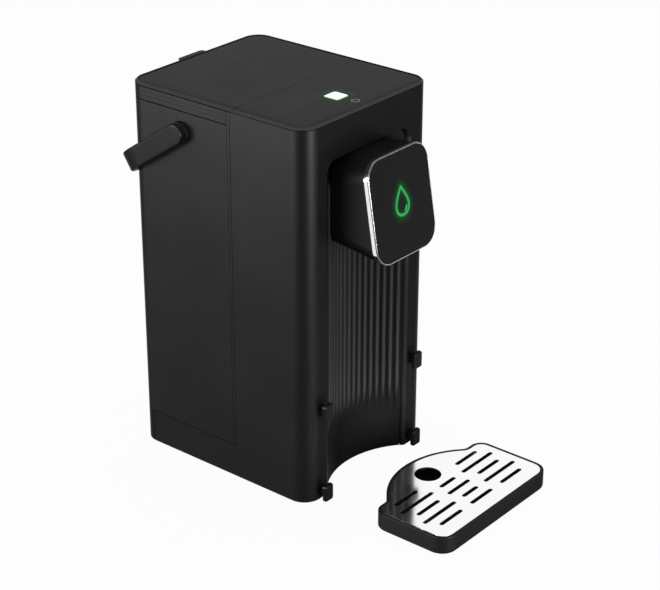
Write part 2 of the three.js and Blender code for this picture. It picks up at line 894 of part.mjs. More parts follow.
// Spout: outlet nose, flange on the boss and a barb for its hose
function spoutNozzle() {
  const flangeLow = spoutFloor() + spoutBossHeight + gap;
  const flangeHigh = flangeLow + spoutFlangeThickness;
  const barb = barbRadius;
  return turned([
    [spoutBore, spoutFloor() - spoutDrop],
    [spoutRadius - spoutBore * noseShare, spoutFloor() - spoutDrop],
    [spoutRadius, spoutFloor() - spoutDrop + spoutBore],
    [spoutRadius, flangeLow],
    [spoutFlange, flangeLow],
    [spoutFlange, flangeHigh],
    [barb, flangeHigh],
    [barb, flangeHigh + barbLength],
    [spoutBore, flangeHigh + barbLength],
    [spoutBore, spoutFloor() - spoutDrop],
  ], 0, spoutY);
}

// Tray hook: oval head, flat stem through the wall and a nut plate behind it
function trayHook(side, z) {
  const x = side * hookSide;
  const headBack = front - hookStemLength;
  const u = hookHeadWidth / 2;
  const v = hookHeadHeight / 2;
  const r = hookHeadCorner;
  const corners = [r, r, r, r];
  const backFace = outlineOf(roundedRect(x - u, z - v, x + u, z + v, corners), smallSteps);
  const inset = hookHeadThickness * hookBevelShare;
  const [fu, fv] = [u - inset, v - inset];
  const faceShape = roundedRect(x - fu, z - fv, x + fu, z + fv, corners);
  const frontFace = outlineOf(faceShape, smallSteps);
  const at = (y) => (px, pz) => new THREE.Vector3(px, y, pz);
  const head = loft([
    { outline: backFace, place: at(headBack) },
    { outline: backFace, place: at(headBack - hookHeadThickness + inset) },
    { outline: frontFace, place: at(headBack - hookHeadThickness) },
  ]);
  const stem = block(
    x - hookStemWidth / 2,
    x + hookStemWidth / 2,
    headBack - hookHeadThickness / 2,
    front + wall + hookNutGap + hookNutThickness / 2,
    z - hookStemHeight / 2,
    z + hookStemHeight / 2,
  );
  const nut = block(
    x - hookNutHalf,
    x + hookNutHalf,
    front + wall + hookNutGap,
    front + wall + hookNutGap + hookNutThickness,
    Math.max(z - v, coverThickness + gap),
    z + v,
  );
  return add(head, stem, nut);
}

// Chamfered plate over the whole top, from which the front cover and the lid plate are cut
function topForm() {
  const full = outlineOf(plan(halfWidth, front, back, bodyCorner, bodyCorner));
  const small = outlineOf(plan(
    halfWidth - topChamfer,
    front + topChamfer,
    back - topChamfer,
    bodyCorner - topChamfer,
    bodyCorner - topChamfer,
  ));
  const at = (z) => (x, y) => new THREE.Vector3(x, y, z);
  return loft([
    { outline: full, place: at(topUnderside) },
    { outline: full, place: at(bodyHeight - topChamferDrop) },
    { outline: small, place: at(bodyHeight) },
  ]);
}
function topCover() {
  const plate = topForm().intersect(
    block(-bodyWidth, bodyWidth, front - overrun, topSeamY - seam / 2, 0, bodyHeight + overrun),
  );
  const inner = bodyCorner - wall - gap;
  const lipBack = panelFront - gap;
  const skirtLow = topUnderside - skirtDepth;
  const topMiddle = topUnderside + topThickness / 2;
  const skirt = cut(
    prismZ(plan(bayHalf, front + wall + gap, lipBack, inner, 0), skirtLow, topMiddle),
    prismZ(
      plan(
        bayHalf - skirtThickness,
        front + wall + gap + skirtThickness,
        lipBack - skirtThickness,
        inner - skirtThickness,
        0,
      ),
      skirtLow - overrun,
      topUnderside,
    ),
    block(-bodyWidth, bodyWidth, topSeamY - seam, back, towerTop - gap, bodyHeight + overrun),
  );
  const shelf = block(
    -bayHalf + skirtThickness / 2,
    bayHalf - skirtThickness / 2,
    topSeamY - shelfDrop,
    lipBack,
    towerTop - gap - topThickness,
    towerTop - gap,
  );
  const riser = block(
    -bayHalf + skirtThickness / 2,
    bayHalf - skirtThickness / 2,
    topSeamY - shelfDrop,
    topSeamY - seam,
    towerTop - gap - topThickness,
    topMiddle,
  );
  const posts = [-1, 1].flatMap((sx) => [-1, 1].map((sy) => rodZ(
    buttonX + controlShift + sx * (controlWidth / 2 - controlPostInset),
    front + buttonBack + sy * (controlDepth / 2 - controlPostInset),
    controlPostRadius,
    topUnderside - controlPostLength,
    topMiddle,
  )));
  const h = buttonSize / 2 + gap;
  const r = buttonCorner + gap;
  const opening = prismZ(
    roundedRect(
      buttonX - h,
      front + buttonBack - h,
      buttonX + h,
      front + buttonBack + h,
      [r, r, r, r],
    ),
    topUnderside - overrun,
    bodyHeight + overrun,
    smallSteps,
  );
  return cut(add(plate, skirt, shelf, riser, ...posts), opening);
}
function topButton() {
  const square = (half, r) => roundedRect(
    buttonX - half,
    front + buttonBack - half,
    buttonX + half,
    front + buttonBack + half,
    [r, r, r, r],
  );
  const flangeTop = topUnderside - gap;
  const flangeLow = flangeTop - buttonFlangeThickness;
  const cap = prismZ(square(buttonSize / 2, buttonCorner), flangeLow, bodyHeight, smallSteps);
  const flange = prismZ(
    square(buttonSize / 2 + buttonFlange, buttonCorner),
    flangeLow,
    flangeTop,
    smallSteps,
  );
  const stem = rodZ(
    buttonX,
    front + buttonBack,
    buttonStem,
    flangeLow - buttonStemLength,
    flangeLow + buttonFlangeThickness / 2,
  );
  return add(cap, flange, stem);
}
function controlTop() {
  return topUnderside - controlPostLength - gap;
}
function controlBoard() {
  const x = buttonX + controlShift;
  const y = front + buttonBack;
  const top = controlTop();
  const board = block(
    x - controlWidth / 2,
    x + controlWidth / 2,
    y - controlDepth / 2,
    y + controlDepth / 2,
    top - boardThickness,
    top,
  );
  const chip = block(
    x + controlWidth * chipStartShare,
    x + controlWidth * chipEndShare,
    y - controlDepth * chipStartShare,
    y + controlDepth * chipStartShare,
    top - boardThickness / 2,
    top + boardThickness,
  );
  return add(board, chip);
}
function tactSwitch() {
  const y = front + buttonBack;
  const low = controlTop() + gap;
  const flangeLow = topUnderside - gap - buttonFlangeThickness;
  const tip = flangeLow - buttonStemLength - buttonTravel - gap;
  const half = switchSize / 2;
  return add(
    block(buttonX - half, buttonX + half, y - half, y + half, low, low + switchHeight),
    rodZ(buttonX, y, switchTipRadius, low + switchHeight / 2, tip),
  );
}

// Water tank: open box with a higher front edge, pivot pads and the outlet neck
function tankBody() {
  const inner = bodyCorner - tankWall;
  const box = prismZ(plan(halfWidth, tankFront, back, tankEdge, bodyCorner), tankBottom, tankTop);
  const strip = block(
    -halfWidth,
    halfWidth,
    tankFront,
    tankFront + tankStrip,
    tankTop - overrun,
    towerTop,
  );
  const room = prismZ(
    plan(halfWidth - tankWall, tankFront + tankStrip, back - tankWall, 0, inner),
    tankBottom + tankFloor,
    bodyHeight,
  );
  const neckTop = tankBottom + tankFloor / 2;
  const neck = rodZ(0, outletBack, outletRadius, outletMouth, neckTop, roundSides);
  const neckRoom = rodZ(0, outletBack, outletBore, outletMouth - overrun, seatTop - seatThickness);
  const upperRoom = rodZ(0, outletBack, outletBore, seatTop, tankBottom + tankFloor + overrun);
  const seat = rodZ(0, outletBack, seatBore, outletMouth - overrun, tankBottom + overrun);
  const pads = bothSides((side) => rodX(
    pivotBackY(),
    pivotHeight,
    pivotPad,
    Math.min(side * (halfWidth - tankWall / 2), side * (halfWidth - pivotPadThickness)),
    Math.max(side * (halfWidth - tankWall / 2), side * (halfWidth - pivotPadThickness)),
  ));
  const bores = bothSides((side) => rodX(
    pivotBackY(),
    pivotHeight,
    pivotSpigot + gap,
    Math.min(side * (halfWidth + overrun), side * (halfWidth - pivotSpigotLength - gap)),
    Math.max(side * (halfWidth + overrun), side * (halfWidth - pivotSpigotLength - gap)),
  ));
  const vessel = cut(add(box, strip), room);
  return cut(add(vessel, neck, ...pads), neckRoom, upperRoom, seat, ...bores);
}
function pivotBackY() {
  const drop = THREE.MathUtils.degToRad(handleDrop);
  const inside = (handleReach - handleThickness) * Math.cos(drop);
  return back + handleClearance - inside + (handleWidth / 2) * Math.sin(drop);
}

// Lid: skirt band, plug into the tank, gasket groove and the chamfered plate on top
function lidBody() {
  const frontY = tankFront + tankStrip + gap;
  const band = (inset, rear) => plan(
    halfWidth - inset,
    frontY + Math.max(inset - tankWall - gap, 0),
    back - inset,
    0,
    rear,
  );
  const skirtLow = tankTop + gap;
  const plugInset = tankWall + gap;
  const grooveLow = skirtLow - plugDepth / 2 - sealHeight / 2;
  const skirt = prismZ(band(0, bodyCorner), skirtLow, towerTop);
  const plugForm = band(plugInset, bodyCorner - plugInset);
  const plug = prismZ(plugForm, skirtLow - plugDepth, towerTop - lidDeck);
  const room = prismZ(
    plan(
      halfWidth - plugWall,
      frontY + plugWall - tankWall - gap,
      back - plugWall,
      0,
      bodyCorner - plugWall,
    ),
    skirtLow - plugDepth - overrun,
    towerTop - lidDeck,
  );
  const groove = cut(
    prismZ(plan(bodyWidth, front, bodyDepth, 0, 0), grooveLow, grooveLow + sealHeight),
    prismZ(
      plan(
        halfWidth - plugInset - sealSize - gap,
        frontY + sealSize + gap,
        back - plugInset - sealSize - gap,
        0,
        bodyCorner - plugInset - sealSize - gap,
      ),
      grooveLow - overrun,
      grooveLow + sealHeight + overrun,
    ),
  );
  return cut(add(skirt, plug), room, groove);
}
function lidSeal() {
  const plugInset = tankWall + gap;
  const frontY = tankFront + tankStrip + gap;
  const grooveLow = tankTop + gap - plugDepth / 2 - sealHeight / 2;
  const ring = (inset) => plan(
    halfWidth - plugInset - inset,
    frontY + inset,
    back - plugInset - inset,
    0,
    bodyCorner - plugInset - inset,
  );
  const low = grooveLow + gap / 2;
  const high = grooveLow + sealHeight - gap / 2;
  return cut(prismZ(ring(0), low, high), prismZ(ring(sealSize), low - overrun, high + overrun));
}
function lidPlate() {
  const plate = topForm().intersect(
    block(-bodyWidth, bodyWidth, topSeamY + seam / 2, back + overrun, 0, bodyHeight + overrun),
  );
  const tabTop = bodyHeight - tabDrop;
  const tab = prismZ(
    plan(tabWidth / 2, back - bodyCorner, back + tabReach, 0, tabCorner),
    Math.max(tabTop - tabThickness, topUnderside),
    tabTop,
    smallSteps,
  );
  return plate.add(tab);
}

// Valve: sealing disc on a stem that the socket's pin lifts
function valvePlunger() {
  const low = seatTop + valveLift + valveSealThickness + gap;
  return turned([
    [0, socketPinTop() + gap],
    [valveStemRadius, socketPinTop() + gap],
    [valveStemRadius, low],
    [valveHeadRadius, low],
    [valveHeadRadius, low + valveHeadThickness],
    [0, low + valveHeadThickness],
  ], 0, outletBack);
}
function socketPinTop() {
  return outletMouth - oringSeatDepth / 2;
}
function valveSeal() {
  const low = seatTop + valveLift;
  return turned([
    [valveStemRadius + gap, low],
    [valveSealRadius, low],
    [valveSealRadius, low + valveSealThickness],
    [valveStemRadius + gap, low + valveSealThickness],
    [valveStemRadius + gap, low],
  ], 0, outletBack);
}

// Return spring of the valve, one unbroken wire between the disc and the strainer's roof
function valveSpring() {
  const discTop = seatTop + valveLift + valveSealThickness + gap + valveHeadThickness;
  const low = discTop + gap + springWire;
  const high = tankBottom + tankFloor + gap + strainerHeight - strainerWall - gap - springWire;
  const path = new (class extends THREE.Curve {
    getPoint(t, target = new THREE.Vector3()) {
      const angle = 2 * Math.PI * springTurns * t;
      return target.set(
        springRadius * Math.cos(angle),
        outletBack + springRadius * Math.sin(angle),
        low + (high - low) * t,
      );
    }
  })();
  const section = new THREE.Shape();
  for (let i = 0; i < wireSides; i += 1) {
    const angle = (2 * Math.PI * i) / wireSides;
    const at = [springWire * Math.cos(angle), springWire * Math.sin(angle)];
    if (i === 0) section.moveTo(...at);
    else section.lineTo(...at);
  }
  const steps = wireStepsPerTurn * springTurns;
  const settings = { steps, extrudePath: path, bevelEnabled: false };
  return solid(new THREE.ExtrudeGeometry(section, settings));
}
function tankStrainer() {
  const low = tankBottom + tankFloor + gap;
  const high = low + strainerHeight;
  const cup = turned([
    [outletBore + gap, low],
    [strainerRadius, low],
    [strainerRadius, high - strainerWall],
    [strainerRadius - strainerWall, high],
    [0, high],
    [0, high - strainerWall],
    [outletBore + gap, high - strainerWall],
    [outletBore + gap, low],
  ], 0, outletBack);
  let rest = cup;
  for (let i = 0; i < strainerSlots; i += 1) {
    const slot = block(
      outletBore,
      strainerRadius + overrun,
      -strainerSlotWidth / 2,
      strainerSlotWidth / 2,
      low + strainerWall,
      high - 3 * strainerWall,
    );
    rest = rest.subtract(slot.rotate(0, 0, (360 * i) / strainerSlots).translate(0, outletBack, 0));
  }
  return rest;
}

// Socket in the deck: cup round the outlet, central pin and a barb for the inlet hose
function socketLow() {
  return deckTop - socketDepth;
}
function socketBarbZ() {
  return socketLow() - hoseRadius - gap;
}
function socketBarbY() {
  return outletBack - (outletRadius + gap + socketWall) / 2 - hoseBore;
}
function valveSocket() {
  const bore = outletRadius + gap;
  const outer = bore + socketWall;
  const low = socketLow();
  const ledge = outletMouth - gap - oringWire - gap;
  const cup = turned([
    [0, low],
    [outer, low],
    [outer, deckUnderside - gap - socketFloor],
    [outer + socketFlange, deckUnderside - gap - socketFloor],
    [outer + socketFlange, deckUnderside - gap],
    [outer, deckUnderside - gap],
    [outer, deckTop - gap],
    [bore, deckTop - gap],
    [bore, ledge],
    [bore - oringWire - socketWall, ledge],
    [bore - oringWire - socketWall, low + socketFloor],
    [pinRadius, low + socketFloor],
    [pinRadius, socketPinTop()],
    [0, socketPinTop()],
  ], 0, outletBack, roundSides);
  const barb = barbRadius;
  const y = outletBack - outer / 2;
  const down = rodZ(0, y, barb, socketBarbZ(), low + socketFloor / 2);
  const across = rodY(0, socketBarbZ(), barb, socketBarbY() - barbLength, y + barb);
  const drain = rodZ(0, y, spoutBore, socketBarbZ(), low + socketFloor + gap);
  const drainOut = rodY(0, socketBarbZ(), spoutBore, socketBarbY() - barbLength - overrun, y);
  return cut(add(cup, down, across), drain, drainOut);
}
function socketSeal() {
  const outer = outletRadius + gap - gap / 2;
  const low = outletMouth - gap - oringWire;
  return turned([
    [outer - oringWire, low],
    [outer, low],
    [outer, low + oringWire],
    [outer - oringWire, low + oringWire],
    [outer - oringWire, low],
  ], 0, outletBack, roundSides);
}

// Carry handle: flat bail with broad corner bends and round pivot ends, hanging behind the tank
function carryHandle() {
  const outer = halfWidth + handleProud;
  const inner = outer - handleThickness;
  const bail = new THREE.Shape();
  const quarter = Math.PI / 2;
  const start = -handleWidth;
  const innerBend = handleBend - handleThickness;
  bail.moveTo(-outer, start);
  bail.lineTo(-inner, start);
  bail.lineTo(-inner, handleReach - handleBend);
  bail.absarc(-outer + handleBend, handleReach - handleBend, innerBend, 2 * quarter, quarter, true);
  bail.lineTo(outer - handleBend, handleReach - handleThickness);
  bail.absarc(outer - handleBend, handleReach - handleBend, innerBend, quarter, 0, true);
  bail.lineTo(inner, start);
  bail.lineTo(outer, start);
  bail.lineTo(outer, handleReach - handleBend);
  bail.absarc(outer - handleBend, handleReach - handleBend, handleBend, 0, quarter, false);
  bail.lineTo(-outer + handleBend, handleReach);
  const bendV = handleReach - handleBend;
  bail.absarc(-outer + handleBend, bendV, handleBend, quarter, 2 * quarter, false);
  bail.lineTo(-outer, start);
  const half = handleWidth / 2;
  const side = roundedRect(-half, -half, handleReach, half, [
    half - tinyFlat,
    handleEndCorner,
    handleEndCorner,
    half - tinyFlat,
  ]);
  const band = prismZ(bail, -half, half).intersect(prismX(side, -bodyWidth, bodyWidth));
  const bores = bothSides((sign) => rodX(
    0,
    0,
    pivotPin + gap,
    Math.min(sign * (inner - overrun), sign * (inner + pivotBoreDepth)),
    Math.max(sign * (inner - overrun), sign * (inner + pivotBoreDepth)),
  ));
  return cut(band, ...bores).rotate(-handleDrop, 0, 0).translate(0, pivotBackY(), pivotHeight);
}
function handlePivot(side) {
  const inner = halfWidth + handleProud - handleThickness;
  const spans = [
    [pivotSpigot, halfWidth - pivotSpigotLength, halfWidth + gap + gap],
    [pivotFlange, halfWidth + gap, inner - gap],
    [pivotPin, inner - gap - gap, inner + pivotBoreDepth - gap],
  ];
  const rods = spans.map(([radius, from, to]) => rodX(
    pivotBackY(),
    pivotHeight,
    radius,
    Math.min(side * from, side * to),
    Math.max(side * from, side * to),
  ));
  return add(...rods);
}

// Drip tray outline: rounded front, shoulders and the arc that fills the channel
function trayOutline(inset) {
  const half = trayWidth / 2 - inset;
  const shoulder = trayShoulderY - inset;
  const nose = trayShoulderY - trayDepth + inset;
  const filletY = trayShoulderY + trayFillet;
  const reach = trayArc + trayFillet;
  const filletX = Math.sqrt(reach ** 2 - (filletY - trayAxisY) ** 2);
  const end = Math.asin((filletY - trayAxisY) / reach);
  const turn = trayFillet + inset;
  const rear = trayRearCorner - inset;
  const fore = trayFrontCorner - inset;
  const quarter = Math.PI / 2;
  const shape = new THREE.Shape();
  shape.moveTo(trayX - half + fore, nose);
  shape.lineTo(trayX + half - fore, nose);
  shape.absarc(trayX + half - fore, nose + fore, fore, -quarter, 0, false);
  shape.lineTo(trayX + half, shoulder - rear);
  shape.absarc(trayX + half - rear, shoulder - rear, rear, 0, quarter, false);
  shape.lineTo(trayX + filletX, shoulder);
  shape.absarc(trayX + filletX, filletY, turn, -quarter, end - 2 * quarter, true);
  shape.absarc(trayX, trayAxisY, trayArc - inset, end, 2 * quarter - end, false);
  shape.absarc(trayX - filletX, filletY, turn, -end, -quarter, true);
  shape.lineTo(trayX - half + rear, shoulder);
  shape.absarc(trayX - half + rear, shoulder - rear, rear, quarter, 2 * quarter, false);
  shape.lineTo(trayX - half, nose + fore);
  shape.absarc(trayX - half + fore, nose + fore, fore, 2 * quarter, 3 * quarter, false);
  return shape;
}
function trayPan() {
  const rebateZ = trayTop - rebateDepth;
  const shell = cut(
    prismZ(trayOutline(0), trayBottom, trayTop),
    prismZ(trayOutline(trayWall + rebateWidth), trayBottom + trayFloor, rebateZ + overrun),
    prismZ(trayOutline(rebateWidth), rebateZ, trayTop + overrun),
  );
  const box = (side, half, y0, y1, z0, z1) => block(
    trayX + side * hookSide - half,
    trayX + side * hookSide + half,
    trayShoulderY - y1,
    trayShoulderY - y0,
    z0,
    z1,
  );
  const headHalf = hookHeadWidth / 2 + keyClearance;
  const reach = hookStemLength + hookHeadThickness + keyClearance;
  const ceiling = rebateZ - gap - trayRibThickness;
  const homes = bothSides((side) => box(
    side,
    headHalf + trayRibThickness,
    trayWall,
    reach + trayRibThickness,
    trayBottom + trayFloor / 2,
    rebateZ - gap,
  ));
  const pockets = bothSides((side) => add(
    box(side, headHalf, hookStemLength - keyClearance, reach, trayBottom - overrun, ceiling),
    box(side, keySlotWidth / 2, -overrun, reach, trayBottom - overrun, ceiling),
  ));
  const ribs = bothSides((side) => block(
    trayX + side * (slotColumnPitch / 2) - trayRibThickness / 2,
    trayX + side * (slotColumnPitch / 2) + trayRibThickness / 2,
    trayShoulderY - trayDepth + trayFrontCorner,
    trayShoulderY - trayWall,
    trayBottom + trayFloor / 2,
    trayBottom + trayFloor / 2 + trayRibHeight,
  ));
  return cut(add(shell, ...homes, ...ribs), ...pockets);
}
function trayGrille() {
  const z0 = trayTop - rebateDepth + gap;
  const plate = trayOutline(rebateWidth + gap);
  const hole = (shape, steps) => plate.holes.push(new THREE.Path(outlineOf(shape, steps)));
  hole(circle(trayX, drainY, drainRadius), 2 * cornerSteps);
  const columns = [
    [-1, [slotMedium, slotLong, slotMedium, slotLong, slotMedium]],
    [0, [0, slotShort, slotMedium, slotShort, slotMedium]],
    [1, [slotMedium, slotLong, slotMedium, slotLong, slotMedium]],
  ];
  const r = slotWidth / 2;
  for (const [column, lengths] of columns) {
    lengths.forEach((length, row) => {
      if (length === 0) return;
      const x = trayX + column * slotColumnPitch;
      const y = trayShoulderY - slotRowStart - row * slotPitch;
      const corner = r - tinyFlat;
      const ends = [corner, corner, corner, corner];
      hole(roundedRect(x - length / 2, y - r, x + length / 2, y + r, ends), smallSteps);
    });
  }
  return prismZ(plate, z0, z0 + grilleThickness);
}

// Pump on its rubber pad
function pumpBody() {
  const y = seamY - pumpBehindSeam;
  const low = coverThickness + gap + padHeight - padRecess;
  const body = turned([
    [0, low],
    [pumpRadius, low],
    [pumpRadius, low + pumpHeadHeight],
    [pumpMotorRadius, low + pumpHeadHeight + wall],
    [pumpMotorRadius, low + pumpHeight - wall],
    [pumpMotorRadius - wall, low + pumpHeight],
    [0, low + pumpHeight],
  ], pumpX, y, smallSides);
  const portZ = low + pumpPortHeight;
  const inlet = rodY(pumpX, portZ, barbRadius, y, y + pumpRadius + barbLength);
  const outlet = rodX(y, portZ, barbRadius, pumpX, pumpX + pumpRadius + barbLength);
  return add(body, inlet, outlet);
}
function pumpPad() {
  const y = seamY - pumpBehindSeam;
  const low = coverThickness + gap;
  return turned([
    [0, low],
    [pumpRadius + wall, low],
    [pumpRadius + wall, low + padHeight],
    [pumpRadius + gap, low + padHeight],
    [pumpRadius + gap, low + padHeight - padRecess - gap],
    [0, low + padHeight - padRecess - gap],
  ], pumpX, y, smallSides);
}

// Flow heater with end caps and ports, held to the bay panel by two saddles
function heaterY() {
  return seamY - heaterBehindSeam;
}
function flowHeater() {
  const y = heaterY();
  const port = barbRadius;
  return turned([
    [0, heaterBottom - barbLength],
    [port, heaterBottom - barbLength],
    [port, heaterBottom],
    [heaterCapRadius, heaterBottom],
    [heaterCapRadius, heaterBottom + heaterCapHeight],
    [heaterRadius, heaterBottom + heaterCapHeight],
    [heaterRadius, heaterTop - heaterCapHeight],
    [heaterCapRadius, heaterTop - heaterCapHeight],
    [heaterCapRadius, heaterTop],
    [port, heaterTop],
    [port, heaterTop + barbLength],
    [0, heaterTop + barbLength],
  ], heaterX, y, smallSides);
}
function heaterClip(z) {
  const y = heaterY();
  const saddle = block(
    heaterX - clipHalfWidth,
    heaterX + clipHalfWidth,
    y,
    panelFront - gap,
    z - clipThickness / 2,
    z + clipThickness / 2,
  );
  return saddle.subtract(rodZ(
    heaterX,
    y,
    heaterRadius + gap,
    z - clipThickness,
    z + clipThickness,
    roundSides,
  ));
}

// Power board on the bay panel's posts, with its transformer, relay and capacitors
function powerBoard() {
  const back0 = panelFront - powerStandoff - gap;
  const x0 = powerX - powerWidth / 2;
  const face = back0 - boardThickness;
  const board = block(x0, x0 + powerWidth, face, back0, powerBottom, powerBottom + powerHeight);
  const deep = face + boardThickness / 2;
  const onBoard = ([left, right, low, high], height) => block(
    x0 + powerWidth * left,
    x0 + powerWidth * right,
    face - height,
    deep,
    powerBottom + powerHeight * low,
    powerBottom + powerHeight * high,
  );
  const transformer = onBoard(transformerShares, tallPartHeight);
  const relay = onBoard(relayShares, relayHeight);
  const capacitors = capacitorShares.map((share) => rodY(
    x0 + powerWidth * capacitorSideShare,
    powerBottom + powerHeight * share,
    capacitorRadius,
    face - tallPartHeight,
    deep,
  ));
  return add(board, transformer, relay, ...capacitors);
}

// Cable inlet: flanged bush in the foot's rear wall
function cableGland() {
  const half = wall + gap + glandNeck;
  return cut(
    add(
      rodY(glandX, glandHeight, glandRadius, back - half, back + gap + glandFlangeThickness / 2),
      rodY(glandX, glandHeight, glandFlange, back + gap, back + gap + glandFlangeThickness),
      rodY(glandX, glandHeight, glandFlange, back - half, back - wall - gap),
    ),
    rodY(glandX, glandHeight, glandBore, back - bodyDepth, back + overrun + glandFlangeThickness),
  );
}
function vector(x, y, z) {
  return new THREE.Vector3(x, y, z);
}
function mainsLead() {
  const z = glandHeight;
  const x = pumpX - pumpRadius - leadBesidePump;
  const boardY = panelFront - powerStandoff - gap - boardThickness;
  const route = [
    vector(glandX, back - wall - gap - glandNeck - gap, z),
    vector(glandX, back - wall - glandNeck - bodyCorner, z),
    vector(glandX - bodyCorner / 2, 0, z - gap),
    vector(x, panelFront + overrun, z),
    vector(x, boardY - 2 * leadRadius, footHeight + overrun),
    vector(x, boardY - leadRadius, powerBottom - bodyCorner),
    vector(x, boardY + boardThickness / 2, powerBottom - gap),
  ];
  return hose(route, leadRadius, 0, leadSteps);
}

// Water hoses: tank socket to pump, pump to heater, heater to spout
function straightEnd(x, y, z, dx, dy, dz) {
  return barbShares.map((share) => {
    const reach = share * barbLength;
    return vector(x + dx * reach, y + dy * reach, z + dz * reach);
  });
}
function pumpPortZ() {
  return coverThickness + gap + padHeight - padRecess + pumpPortHeight;
}
function inletHose() {
  const pumpY = seamY - pumpBehindSeam;
  return hose([
    ...straightEnd(0, socketBarbY() - gap, socketBarbZ(), 0, -1, 0),
    vector(pumpX / 2, (socketBarbY() + pumpY + pumpRadius) / 2, pumpPortZ() - hoseBore),
    ...straightEnd(pumpX, pumpY + pumpRadius + gap, pumpPortZ(), 0, 1, 0).reverse(),
  ], hoseRadius, hoseBore, inletHoseSteps);
}
function pumpHose() {
  const y = seamY - pumpBehindSeam;
  return hose([
    ...straightEnd(pumpX + pumpRadius + gap, y, pumpPortZ(), 1, 0, 0),
    vector(heaterX - barbLength, (y + heaterY()) / 2, pumpPortZ() + 2 * barbLength),
    vector(heaterX, heaterY(), heaterBottom - 4 * barbLength),
    ...straightEnd(heaterX, heaterY(), heaterBottom - gap, 0, 0, -1).reverse(),
  ], hoseRadius, hoseBore, pumpHoseSteps);
}
function spoutHose() {
  const start = spoutFloor() + spoutBossHeight + gap + spoutFlangeThickness + gap;
  const neckZ = (windowBottom + windowTop) / 2;
  return hose([
    ...straightEnd(heaterX, heaterY(), heaterTop + gap, 0, 0, 1),
    vector(heaterX - barbLength, heaterY() - barbLength, neckZ - barbLength),
    vector(windowHalfWidth / 2, channelAxisY + splashBack, neckZ),
    vector(0, spoutY + 2 * barbLength, neckZ - barbLength),
    ...straightEnd(0, spoutY, start, 0, 0, 1).reverse(),
  ], hoseRadius, hoseBore, spoutHoseSteps);
}

// The model, piece by piece
const model = new THREE.Group();
model.name = 'hot_water_dispenser';
const put = (name, shape, material) => model.add(piece(name, shape, material));

put('front_housing', frontHousing(), housingBlack());
put('tank_bay_panel', tankBayPanel(), innerGrey());
put('base_cover', baseCover(), housingBlack());
for (const [x, y, end, side] of footPlaces()) {
  put(`foot_${end}_${side < 0 ? 'left' : 'right'}`, rubberFoot(x, y), rubber());
}
for (const [x, y, end, side] of screwPlaces()) {
  put(`screw_${end}_${side < 0 ? 'left' : 'right'}`, baseScrew(x, y), steel());
}
put('splash_panel', splashPanel(), housingBlack());
for (const side of [-1, 1]) {
  const hand = side < 0 ? 'left' : 'right';
  put(`tray_hook_low_${hand}`, trayHook(side, hookLow), gloss());
  put(`tray_hook_high_${hand}`, trayHook(side, hookHigh), gloss());
}
put('top_cover', topCover(), topBlack());
put('top_button', topButton(), litGreen());
put('control_board', controlBoard(), boardGreen());
put('tact_switch', tactSwitch(), innerGrey());
put('head_shell', headShell(), housingBlack());
put('head_bezel', headBezel(), polished());
put('head_glass', headGlass(), gloss());
put('touch_board', touchBoard(), boardGreen());
put('spout_nozzle', spoutNozzle(), silicone());
put('tank_body', tankBody(), housingBlack());
put('tank_strainer', tankStrainer(), innerGrey());
put('valve_plunger', valvePlunger(), innerGrey());
put('valve_seal', valveSeal(), silicone());
put('valve_spring', valveSpring(), steel());
put('valve_socket', valveSocket(), innerGrey());
put('socket_seal', socketSeal(), silicone());
put('lid_body', lidBody(), housingBlack());
put('lid_seal', lidSeal(), silicone());
put('lid_plate', lidPlate(), topBlack());
put('carry_handle', carryHandle(), housingBlack());
put('handle_pivot_left', handlePivot(-1), rubber());
put('handle_pivot_right', handlePivot(1), rubber());
put('tray_pan', trayPan(), housingBlack());
put('tray_grille', trayGrille(), polished());
put('pump', pumpBody(), innerGrey());
put('pump_pad', pumpPad(), rubber());
put('flow_heater', flowHeater(), steel());
put('heater_clip_low', heaterClip(heaterBottom + clipInset), innerGrey());
put('heater_clip_high', heaterClip(heaterTop - clipInset), innerGrey());
put('power_board', powerBoard(), boardGreen());
put('cable_gland', cableGland(), rubber());
put('mains_lead', mainsLead(), rubber());
put('inlet_hose', inletHose(), silicone());
put('pump_hose', pumpHose(), silicone());
put('spout_hose', spoutHose(), silicone());

export default model;
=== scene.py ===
from math import asin, atan2, cos, exp, hypot, pi, radians, sin, sqrt, tan

import bmesh
import bpy
from mathutils import Matrix, Vector


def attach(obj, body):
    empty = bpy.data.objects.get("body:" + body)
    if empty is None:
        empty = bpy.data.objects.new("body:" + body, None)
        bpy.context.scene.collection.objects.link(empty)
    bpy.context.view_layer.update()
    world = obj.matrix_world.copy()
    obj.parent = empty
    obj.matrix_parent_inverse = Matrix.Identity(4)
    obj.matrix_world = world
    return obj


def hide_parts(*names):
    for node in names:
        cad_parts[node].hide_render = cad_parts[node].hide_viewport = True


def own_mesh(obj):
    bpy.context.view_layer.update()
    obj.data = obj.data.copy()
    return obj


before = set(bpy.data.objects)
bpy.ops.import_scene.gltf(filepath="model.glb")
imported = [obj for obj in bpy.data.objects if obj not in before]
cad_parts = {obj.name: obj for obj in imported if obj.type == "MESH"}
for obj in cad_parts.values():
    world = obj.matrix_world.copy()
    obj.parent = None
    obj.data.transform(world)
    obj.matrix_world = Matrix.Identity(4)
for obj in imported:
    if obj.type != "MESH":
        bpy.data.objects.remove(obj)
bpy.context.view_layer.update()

# Sizes in millimetres, in the part's own frame
MM = 0.001
BODY_HALF = 75
FRONT = -89
BACK = 89
BODY_CORNER = 15
SHARP = 0.3
WALL = 2.8
TOWER_BACK = -16.05
TOWER_TOP = 310
FOOT_TOP = 27.9
TOP_LOW = 310.2
TOP_HIGH = 312.5
TOP_SEAM = -18.4
SEAM_HALF = 0.22
SEAM_ROUND = 0.22
LIP_BACK = -15.9
GLAND = (-40, 0, 13.5)

